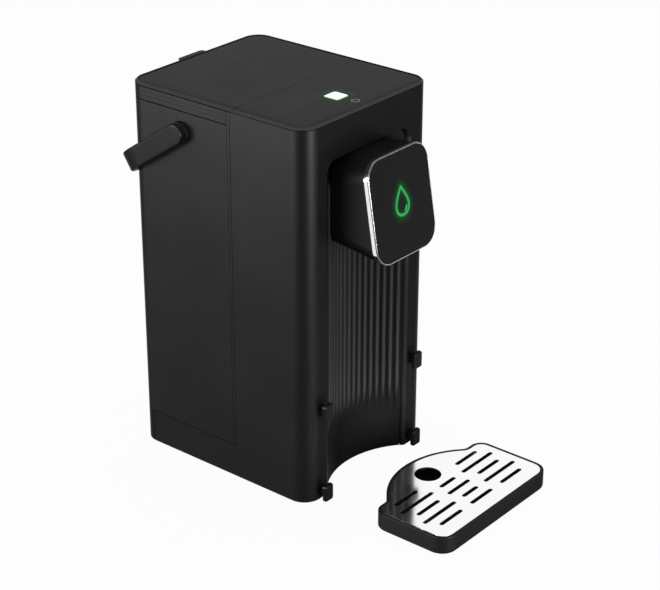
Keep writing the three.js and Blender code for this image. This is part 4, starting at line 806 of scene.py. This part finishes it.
def tray_hooks():
    head_profile = ((0, 0.5), (0.3, 0.1), (0.7, 0), (2.3, 0), (3, 0.25), (3.45, 0.7),
                    (3.6, 1.3))
    for side, hand in SIDES:
        for z, level in HOOK_LEVELS:
            x = side * HOOK_SIDE
            name = "hook_" + level + "_" + hand
            head = loft(name, [
                upright(centred(x, z, HOOK_HALF_WIDTH - inset, HOOK_HALF_HEIGHT - inset,
                                2.2 - inset, 8), HOOK_HEAD_BACK - ahead)
                for ahead, inset in head_profile])
            stem = loft("stem", [upright(centred(x, z, 1.8, 4.5, 0.6, 5), y)
                                 for y in (HOOK_HEAD_BACK - 1.8, -84)])
            nut = box(x - 2.6, x + 2.6, -85, -83, max(z - HOOK_HALF_HEIGHT, 2.7),
                      z + HOOK_HALF_HEIGHT)
            unite(head, stem, nut)
            dress(head, HOOK_BLACK, "tray_" + name)


# ---------- Top ----------

def seam_cutter(y0, y1):
    return box(-90, 90, y0, y1, 300, 320)


def top_form(name, cut_from, cut_to):
    """Bevelled plate, cut off at the seam, with a low step and a shallow ramp inside its rim."""
    levels = [(TOP_LOW, 0.25), (TOP_LOW + 0.25, 0), (310.75, 0), (310.87, 0.05),
              (312.28, 1.45), (312.42, 1.65), (TOP_HIGH, 2)]
    plate = body_layers(name, levels)
    carve(plate, seam_cutter(cut_from, cut_to))
    changed(plate, "BEVEL", width=SEAM_ROUND * MM, segments=2, limit_method="ANGLE",
            angle_limit=radians(60), use_clamp_overlap=True)
    step = [(TOP_HIGH + 0.03, 7.6), (TOP_HIGH - 0.9, 2.3), (TOP_HIGH + 2, 2.3)]
    return carve(plate, body_layers("rim_step", step))


def top_cover():
    cover = top_form("top_cover_plate", TOP_SEAM - SEAM_HALF, 120)
    lip, lip_room = (prism(body_plan(inset, y1=LIP_BACK, rear=SHARP, steps=20), z0, z1)
                     for inset, z0, z1 in ((3.1, 306.2, 310.6), (4.9, 300, 309.9)))
    carve(lip, lip_room, seam_cutter(-25.8, 0))
    shelf = box(-71, 71, -28, -19, 307.1, 309.4)
    riser = box(-71, 71, -28, -25.8, 307.1, 310.8)
    posts = [rod(3, 301.3, 311, (BUTTON_X + 6 + sx * 23.5, BUTTON_Y + sy * 12.5, 0), sides=32)
             for sx in (-1, 1) for sy in (-1, 1)]
    unite(cover, lip, shelf, riser, *posts)
    half = BUTTON_SIZE / 2 + 0.3
    opening = [at_height(centred(BUTTON_X, BUTTON_Y, half + wider, half + wider,
                                 2.9 + wider, 10), z)
               for z, wider in ((300, 0), (TOP_HIGH - 0.35, 0), (TOP_HIGH - 0.1, 0.1),
                                (TOP_HIGH, 0.35), (TOP_HIGH + 2, 0.35))]
    carve(cover, loft("opening", opening))
    dress(cover, MATT_COVER, "top_cover")


def top_button():
    levels = ((307.2, 2.4, 2.39), (308.4, 2.4, 2.39), (308.4, 9.15, 3.4), (309.9, 9.15, 3.4),
              (309.9, 7.25, 2.6), (312, 7.25, 2.6), (312.3, 7.1, 2.5), (312.45, 6.8, 2.3),
              (312.5, 6.3, 2))
    button = loft("lit_square_button", [
        at_height(centred(BUTTON_X, BUTTON_Y, half, half, corner, 10), z)
        for z, half, corner in levels])
    dress(button, BUTTON_LIGHT, "top_button", body="button")


def power_sign():
    def place(u, v, lift):
        return (BUTTON_X + 1.0 + u, BUTTON_Y - 17.6 + v, TOP_HIGH + 0.02 + lift)

    ring = arc(0, 0, 3, radians(125), radians(415), 40)
    bar = [(0, 0.6), (0, 1.6), (0, 2.7), (0, 3.8)]
    for part, line in (("ring", ring), ("bar", bar)):
        ribbon("power_sign_" + part, line, 0.8, 0.03, place, SIGN_GREY)


# ---------- Head ----------

def on_plate(u, v, depth):
    y = PLATE_Y + v * sin(PLATE_TILT) + depth * cos(PLATE_TILT)
    z = PLATE_Z + v * cos(PLATE_TILT) - depth * sin(PLATE_TILT)
    return (u, y, z)


def plate_outline(inset, steps):
    return centred(0, 0, PLATE_WIDTH / 2 - inset, PLATE_HEIGHT / 2 - inset,
                   PLATE_CORNER - inset, steps)


def plate_ring(inset, depth):
    return [on_plate(u, v, depth) for u, v in plate_outline(inset, 20)]


def head_form(name, inset, depth, end, front_round=0.0):
    """Box from the tilted plate back to its rear outline in the channel, drawn in by inset."""
    rise = (PLATE_HEIGHT / 2 - SHELL_INSET) * cos(PLATE_TILT)
    top = min(PLATE_Z + rise, HEAD_TOP) - inset
    low = PLATE_Z - rise + inset + tan(HEAD_UNDERCUT) * HEAD_RUN
    half = PLATE_WIDTH / 2 - SHELL_INSET - inset
    high, deep = REAR_CORNER - inset, PLATE_CORNER - inset
    near = plate_ring(SHELL_INSET + inset, depth)
    far = upright(rounded(-half, low, half, top, (deep, deep, high, high), 20), HEAD_REAR)
    rings = [plate_ring(SHELL_INSET + inset + front_round, depth)] if front_round else []
    for share in (0.006 if front_round else 0, 0.1, 0.3, 0.5, 0.7, 0.9, end):
        rings.append([tuple(a + (b - a) * share for a, b in zip(p, q))
                      for p, q in zip(near, far)])
    return loft(name, rings)


def head():
    shell = head_form("head_shell_box", 0, 3.5, 1, 0.4)
    room = head_form("room", 2.2, 0.5, 0.93)
    wall_line = arc(0, CHANNEL_AXIS, 71, 0.5, pi - 0.5, 120)
    behind = prism([(-60, -40), (60, -40)] + wall_line, 150, 330)
    carve(shell, behind, room)
    unite(shell, rod(8.5, 204.4, 211.6, SPOUT))
    carve(shell, rod(5.3, 190, 215, SPOUT))
    dress(shell, HEAD_BLACK, "head_shell")

    profile = [(0.85, 0.02), (0.75, 0), (0.65, 0.05), (0.1, 0.6), (0, 0.75), (0, 3.9),
               (0.12, 4.05), (3.5, 4.05), (3.5, 2.2), (0.8, 2.2), (0.8, 0.5), (0.95, 0.3),
               (0.95, 0.12)]
    bezel = loft("head_bezel_ring", [plate_ring(i, depth) for i, depth in profile],
                 endless=True)
    dress(bezel, CHROME, "head_bezel")
    facing = Vector((0, -cos(PLATE_TILT), sin(PLATE_TILT)))
    # The chamfer faces, marked satin, get a satin roughness and a painted dark reflection.
    mark(bezel, "satin", "FACE", [float(0.35 < p.normal.dot(facing) < 0.93)
                                  for p in bezel.data.polygons])
    head_glass()
    profile = [(2.2, 0), (3.4, 0), (4.3, 0.4), (4.85, 1.3), (5, 2.7), (5, 14.8),
               (8.5, 14.8), (8.5, 16.8), (2.8, 16.8), (2.8, 23.8), (2.2, 23.8), (2.2, 0)]
    spout = turned("spout_nose", profile, (SPOUT[0], SPOUT[1], SPOUT_LOW))
    dress(spout, SILICONE, "spout_nozzle")


def drop_line(count=96):
    """Water drop with a pointed top, round below, middle at (0, 2.4)."""
    turns = (2 * pi * i / count + 0.0001 for i in range(count))
    return [(10.2 * sin(t) * abs(sin(t / 2)) ** 1.25, 2.4 + 11.0 * cos(t))
            for t in turns]


def head_glass():
    """Pane whose rings spread from the drop's shape to its own outline, and the lit drop."""
    drop = drop_line()
    middle, sign_depth = 0.5, 0.3

    def edge(shrink):
        outline = plate_outline(GLASS_INSET + shrink, 24)
        picked = []
        for a, b in drop:
            goal = atan2(b - middle, a)
            picked.append(min(outline, key=lambda p: abs(
                (atan2(p[1], p[0]) - goal + pi) % (2 * pi) - pi)))
        return picked

    def light_at(a, b, inside):
        far = min(hypot(a - p, b - q) for p, q in drop)
        fade = exp(-far / (1.5 if inside else 1.8))
        return max(fade, 0.05) if inside else fade if far < 6 else 0.0

    rings, halo = [], []

    def ring(outline, depth, inside=False):
        rings.append([on_plate(a, b, depth) for a, b in outline])
        halo.extend(light_at(a, b, inside) for a, b in outline)

    for share in (0.02, 0.3, 0.5, 0.65, 0.76, 0.85, 0.93, 1, 1.06, 1.13, 1.21, 1.3, 1.42, 1.6,
                  1.9):
        ring([(a * share, middle + (b - middle) * share) for a, b in drop], sign_depth,
             share <= 1)
    for shrink, depth in ((0.5, sign_depth), (0.2, 0.34), (0, 0.5), (0, 1.9)):
        ring(edge(shrink), depth)
    glass = loft("touch_glass", rings, weld=False)
    mark(glass, "halo", "POINT", halo)
    dress(glass, TOUCH_GLASS, "head_glass")

    def place(a, b, lift):
        return on_plate(a, b, sign_depth - 0.03 - lift)

    ribbon("drop_sign_line", drop, 2.9, 0.05, place, DROP_LIGHT, closed=True)
    gleam_line = arc(0, -1.9, 4.6, radians(-75), radians(5), 20)
    ribbon("drop_sign_gleam", gleam_line, 0.4, 0.05, place, DROP_LIGHT,
           swell=2.6)


# ---------- Tank, lid and handle ----------

def pivot_rods(radius, inner, outer):
    """Rods on the handle's axis, one at each side."""
    return [rod(radius, s * inner, s * outer, PIVOT, "X") for s in (1, -1)]


def tank():
    vessel = body_layers("tank_vessel", [(TANK_LOW, 0.5), (TANK_LOW + 0.5, 0),
                                         (TANK_HIGH - 0.4, 0), (TANK_HIGH, 0.4)],
                         y0=TANK_FRONT, front=SHARP)
    strip = rounded(-BODY_HALF, TANK_FRONT, BODY_HALF, TANK_ROOM_FRONT, (0.3, 0.3, 0.1, 0.1), 6)
    unite(vessel, prism(strip, 290, 309.7))
    parting_lines = [box(x - 0.25, x + 0.25, -13.25, -12.95, 20, TANK_HIGH - 1)
                     for x in (-BODY_HALF, BODY_HALF)]
    room = prism(tank_plan(TANK_WALL, TANK_ROOM_FRONT, 0.5), 31.4, 320)
    carve(vessel, *parting_lines, room)
    neck = turned("neck", [(12.9, 18.4), (13.5, 18.7), (13.7, 19.3), (13.7, 29.9)], OUTLET)
    unite(vessel, neck, *reversed(pivot_rods(7.2, 73.7, 68)))
    outlet = [rod(radius, low, high, OUTLET)
              for radius, low, high in ((11, 14, 22.9), (11, 24.9, 35), (6, 14, 32))]
    carve(vessel, *outlet, *pivot_rods(3.3, 80, 70.1))
    dress(vessel, MATT_TANK, "tank_body", body="tank")

    profile = [(0.01, 70.4), (2.6, 70.4), (3, 70.8), (3, 75.2), (8, 75.2), (8.4, 75.4),
               (8.6, 75.8), (8.6, 78.5), (8.4, 78.7), (8, 78.8), (4, 78.8), (4, 81.5),
               (3.6, 82), (0.01, 82)]
    for side, hand in SIDES:
        pivot = turned("pivot_disc_" + hand, [(r, side * h) for r, h in profile], PIVOT, "X")
        dress(pivot, RUBBER, "handle_pivot_" + hand, body="tank")


def lid():
    levels = [(TANK_HIGH + 0.3, 0.3), (TANK_HIGH + 0.6, 0)]
    for line in LID_BAND_LINES:
        levels += [(line - 0.2, 0), (line - 0.08, 0.12), (line + 0.08, 0.12), (line + 0.2, 0)]
    levels += [(309.5, 0), (309.8, 0.3)]
    band = loft("lid_band", [at_height(tank_plan(i, LID_FRONT), z) for z, i in levels])
    unite(band, prism(tank_plan(2.9, LID_FRONT), 290.3, 307.2))
    room = prism(tank_plan(6.4, -9.3, 0.6), 286, 307.3)
    groove = prism(rounded(-90, -40, 90, 120, [1] * 4, 2), 292.3, 294.3)
    carve(groove, prism(tank_plan(4.2, -11.5), 280, 300))
    carve(band, room, groove)
    dress(band, MATT_TANK, "lid_body", body="lid")

    plate = top_form("lid_plate_top", -120, TOP_SEAM + SEAM_HALF)
    tab_levels = ((310.3, 0.5), (310.6, 0.1), (310.9, 0), (311.2, 0), (311.45, 0.2),
                  (311.6, 0.6))
    tab = loft("tab", [at_height(rounded(-14.5 + i, 80, 14.5 - i, 94 - i,
                                         (0.1, 0.1, 3.2 - i, 3.2 - i), 10), z)
                       for z, i in tab_levels])
    unite(plate, tab)
    dress(plate, MATT_TOP, "lid_plate", body="lid")


def valve_spring():
    """Coil over the tank valve, built at one length; the real coil shortens towards the disc as
    the valve slides up.
    """
    low, high, wire, radius, turns, around = 32.25, 49.05, 0.5, 5.2, 6, 10
    steps = turns * 28
    section = [(wire * cos(b), wire * sin(b))
               for b in (2 * pi * k / around for k in range(around))]
    rings = []
    for i in range(steps + 1):
        a = 2 * pi * turns * i / steps
        z = low + (high - low) * i / steps
        rings.append([(cos(a) * (radius + out), OUTLET[1] + sin(a) * (radius + out),
                       z + up) for out, up in section])
    coil = loft("valve_coil", rings)
    dress(coil, PLAIN_STEEL, "valve_spring", body="tank_valve", angle=50)
    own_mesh(coil)


def handle():
    """Flat bail: a rounded strap section carried along arm, bend and grip."""
    outer, thick, reach, bend, half = 84, 5, 81.5, 33, 8.2
    middle = outer - thick / 2
    path = []
    for i in range(15):
        s = -half + half * (1 - cos(pi / 2 * i / 14))
        width = sqrt(max(half ** 2 - s ** 2, 0.04))
        path.append(((-middle, s), (0, 1), width))
    path += [((-middle, v), (0, 1), half) for v in (12, 30)]
    radius = bend - thick / 2
    for i in range(21):
        a = pi - pi / 2 * i / 20
        spot = (-outer + bend + radius * cos(a), reach - bend + radius * sin(a))
        path.append((spot, (sin(a), -cos(a)), half))
    path.append(((-20, reach - thick / 2), (1, 0), half))
    mirrored = [((-u, v), (du, -dv), w) for (u, v), (du, dv), w in reversed(path)]
    path = path + [((0, reach - thick / 2), (1, 0), half)] + mirrored
    rings = []
    for (u, v), (du, dv), width in path:
        ring = []
        for across, high in centred(0, 0, thick / 2, width, min(1.5, width * 0.9), 6):
            pu, pv = u - dv * across, v + du * across
            ring.append((pu,
                         PIVOT_Y + pv * cos(HANDLE_DROP) + high * sin(HANDLE_DROP),
                         PIVOT_Z - pv * sin(HANDLE_DROP) + high * cos(HANDLE_DROP)))
        rings.append(ring)
    bail = loft("carry_bail", rings)
    carve(bail, *pivot_rods(4.3, 70, 82.3))
    dress(bail, HANDLE_BLACK, "carry_handle", body="handle", angle=40)


# ---------- Drip tray ----------

def tray_outline(inset, steps=10):
    quarter = pi / 2
    half = 70.0 - inset
    shoulder = TRAY_SHOULDER - inset
    nose = TRAY_SHOULDER - 69.5 + inset
    axis = TRAY_SHOULDER - 48.9
    radius, fillet = 71, 8.0
    reach = radius + fillet
    fy = TRAY_SHOULDER + fillet
    fx = sqrt(reach ** 2 - (fy - axis) ** 2)
    end = asin((fy - axis) / reach)
    rear, fore = 10.5 - inset, 13.5 - inset
    right = (arc(half - fore, nose + fore, fore, -quarter, 0, 2 * steps)
             + arc(half - rear, shoulder - rear, rear, 0, quarter, 2 * steps)
             + arc(fx, fy, fillet + inset, -quarter, end - 2 * quarter, steps))
    bow = arc(0, axis, radius - inset, end, 2 * quarter - end, 5 * steps)[1:-1]
    left = [(-x, y) for x, y in reversed(right)]
    return [(TRAY_X + x, y) for x, y in right + bow + left]


def slotted_tree():
    """Rows of round-ended slots cut through the plate, in three columns of set lengths."""
    g, size = new_tree("slotted_plate", "Geometry", {
        "Geometry": "Geometry", "Slot Width": 0.0036, "Row Pitch": 0.0108,
        "Column Pitch": 0.0397, "Long": 0.0405, "Medium": 0.0277, "Short": 0.0194,
        "Middle X": TRAY_X * MM, "First Row Y": (TRAY_SHOULDER - 9) * MM, "Depth": 0.02,
        "Middle Z": 0.0133, "Material": "Material"}, {"Geometry": "Geometry"})
    width, depth = size["Slot Width"], size["Depth"]
    end = g.out("GeometryNodeMeshCylinder", {"fill_type": "NGON"}, Vertices=24,
                Radius=g.times(width, 0.5), Depth=depth)
    cutting = {"operation": "DIFFERENCE", "solver": "EXACT"}

    def slot(length):
        run = g.less(length, width)
        shapes = [g.out("GeometryNodeMeshCube", Size=g.vector(run, width, depth))]
        shapes += [g.out("GeometryNodeTransform", Geometry=end,
                         Translation=g.vector(g.times(run, sign))) for sign in (-0.5, 0.5)]
        merged = g.node("GeometryNodeMeshBoolean", {**cutting, "operation": "UNION"})
        for shape in shapes:
            g.feed(merged.inputs["Mesh 2"], shape)
        return merged.outputs[0]

    first = g.vector(size["Middle X"], size["First Row Y"], size["Middle Z"])
    rows = g.out("GeometryNodeMeshLine", {"mode": "OFFSET"}, Count=5, Start_Location=first,
                 Offset=g.vector(y=g.times(size["Row Pitch"], -1)))
    index = g.out("GeometryNodeInputIndex")
    odd = g.math("MODULO", index, 2)
    even = g.less(1, odd)
    later = g.math("GREATER_THAN", index, 0.5)

    def placed(shape, selection, shift):
        moved = g.out("GeometryNodeTransform", Geometry=rows,
                      Translation=g.vector(g.times(size["Column Pitch"], shift)))
        return g.out("GeometryNodeInstanceOnPoints", Points=moved, Selection=selection,
                     Instance=shape)

    long_slot, medium_slot, short_slot = (slot(size[s]) for s in ("Long", "Medium", "Short"))
    cutters = [placed(shape, selection, shift)
               for shape, selection in ((long_slot, odd), (medium_slot, even))
               for shift in (-1, 1)]
    cutters.append(placed(medium_slot, g.times(even, later), 0))
    cutters.append(placed(short_slot, odd, 0))
    tools = g.out("GeometryNodeRealizeInstances", Geometry=g.joined(*cutters))
    cut = g.node("GeometryNodeMeshBoolean", cutting)
    g.feed(cut.inputs["Mesh 1"], size["Geometry"])
    g.feed(cut.inputs["Mesh 2"], tools)
    return finish_tree(g, cut.outputs[0], size["Material"])


def tray():
    profile = [(3 - r, 3 + TRAY_LOW - d) for r, d in arc(0, 0, 3, pi / 2, 0, 7)]
    profile += [(0, 13.3), (0.12, 13.7), (0.45, 13.9), (2.15, 13.9), (2.43, 13.75),
                (2.5, 13.4), (2.5, 12.4), (3.6, 12.4), (3.6, 1.6), (3.9, 0.8), (4.8, 0.5)]
    pan = loft("drip_pan", [at_height(tray_outline(i), z) for i, z in profile])
    added, pockets = [], []
    y, pocket_low, pocket_high = TRAY_SHOULDER, -5, 10.5
    for x in (TRAY_X - HOOK_SIDE, TRAY_X + HOOK_SIDE):
        added.append(box(x - 5.9, x + 5.9, y - 10.4, y - 2.4, -0.5, 12.1))
        pockets += [box(x - 4.3, x + 4.3, y - 8.8, y - 3.6, pocket_low, pocket_high),
                    box(x - 2.4, x + 2.4, y - 8.8, y + 4, pocket_low, pocket_high)]
    added += [box(x - 0.8, x + 0.8, -201.3, -147.5, -0.5, 10)
              for x in (TRAY_X - 19.85, TRAY_X + 19.85)]
    unite(pan, *added)
    carve(pan, *pockets)
    dress(pan, TRAY_BLACK, "tray_pan", body="tray")

    levels = ((3.05, 12.7), (2.8, 12.95), (2.8, 13.55), (2.9, 13.8), (3.2, 13.9))
    plate = loft("steel_grille", [at_height(tray_outline(i), z) for i, z in levels])
    grown(plate, slotted_tree(), MIRROR_STEEL)
    carve(plate, rod(10.75, 5, 20, (TRAY_X, TRAY_SHOULDER - 0.4, 0)))
    dress(plate, MIRROR_STEEL, "tray_grille", body="grille")


# ---------- Underside, cable inlet and the CAD pieces that stay ----------

def rubber_feet():
    profile = [(0.01, -0.9), (3, -0.9), (3.4, -1.1), (3.9, -1.5), (7.6, -1.5), (8.5, -1.3),
               (8.9, -0.9), (9, -0.3), (9, 0.9), (0.01, 0.9)]
    for row, x, y in (("front", 56, -72), ("rear", 54, 66)):
        for side, hand in SIDES:
            node = "foot_" + row + "_" + hand
            foot = turned("rubber_" + node, profile, (side * x, y, 0), sides=48)
            dress(foot, RUBBER, node)


def cable_bush():
    profile = [(3.4, 79.9), (8, 79.9), (8, 85.9), (6, 85.9), (6, 89.3), (7.7, 89.3),
               (8, 89.6), (8, 90.7), (7.6, 91.1), (4, 91.1), (3.4, 90.6), (3.4, 79.9)]
    bush = turned("cable_bush", profile, GLAND, "Y", 48)
    dress(bush, RUBBER, "cable_gland")


def finish_cad_nodes():
    plain = {
        INNER_GREY: "tank_bay_panel valve_socket tact_switch tank_strainer valve_plunger pump "
                    "heater_clip_low heater_clip_high",
        MATT_HOUSING: "base_cover",
        PLAIN_STEEL: "screw_front_left screw_front_right screw_rear_left screw_rear_right "
                     "flow_heater",
        SILICONE: "valve_seal socket_seal lid_seal inlet_hose pump_hose spout_hose",
        RUBBER: "pump_pad mains_lead",
        BOARD: "control_board touch_board power_board",
    }
    for finish, names in plain.items():
        for name in names.split():
            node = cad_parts[name]
            if not node.material_slots:
                node.data.materials.append(finish.made)
            for entry in node.material_slots:
                entry.material = finish.made


photo_camera()
white_surroundings()
lamps()
housing()
splash_wall()
tray_hooks()
top_cover()
top_button()
power_sign()
head()
tank()
lid()
valve_spring()
handle()
tray()
rubber_feet()
cable_bush()
finish_cad_nodes()

bpy.context.view_layer.update()
scene.view_settings.view_transform = "Standard"
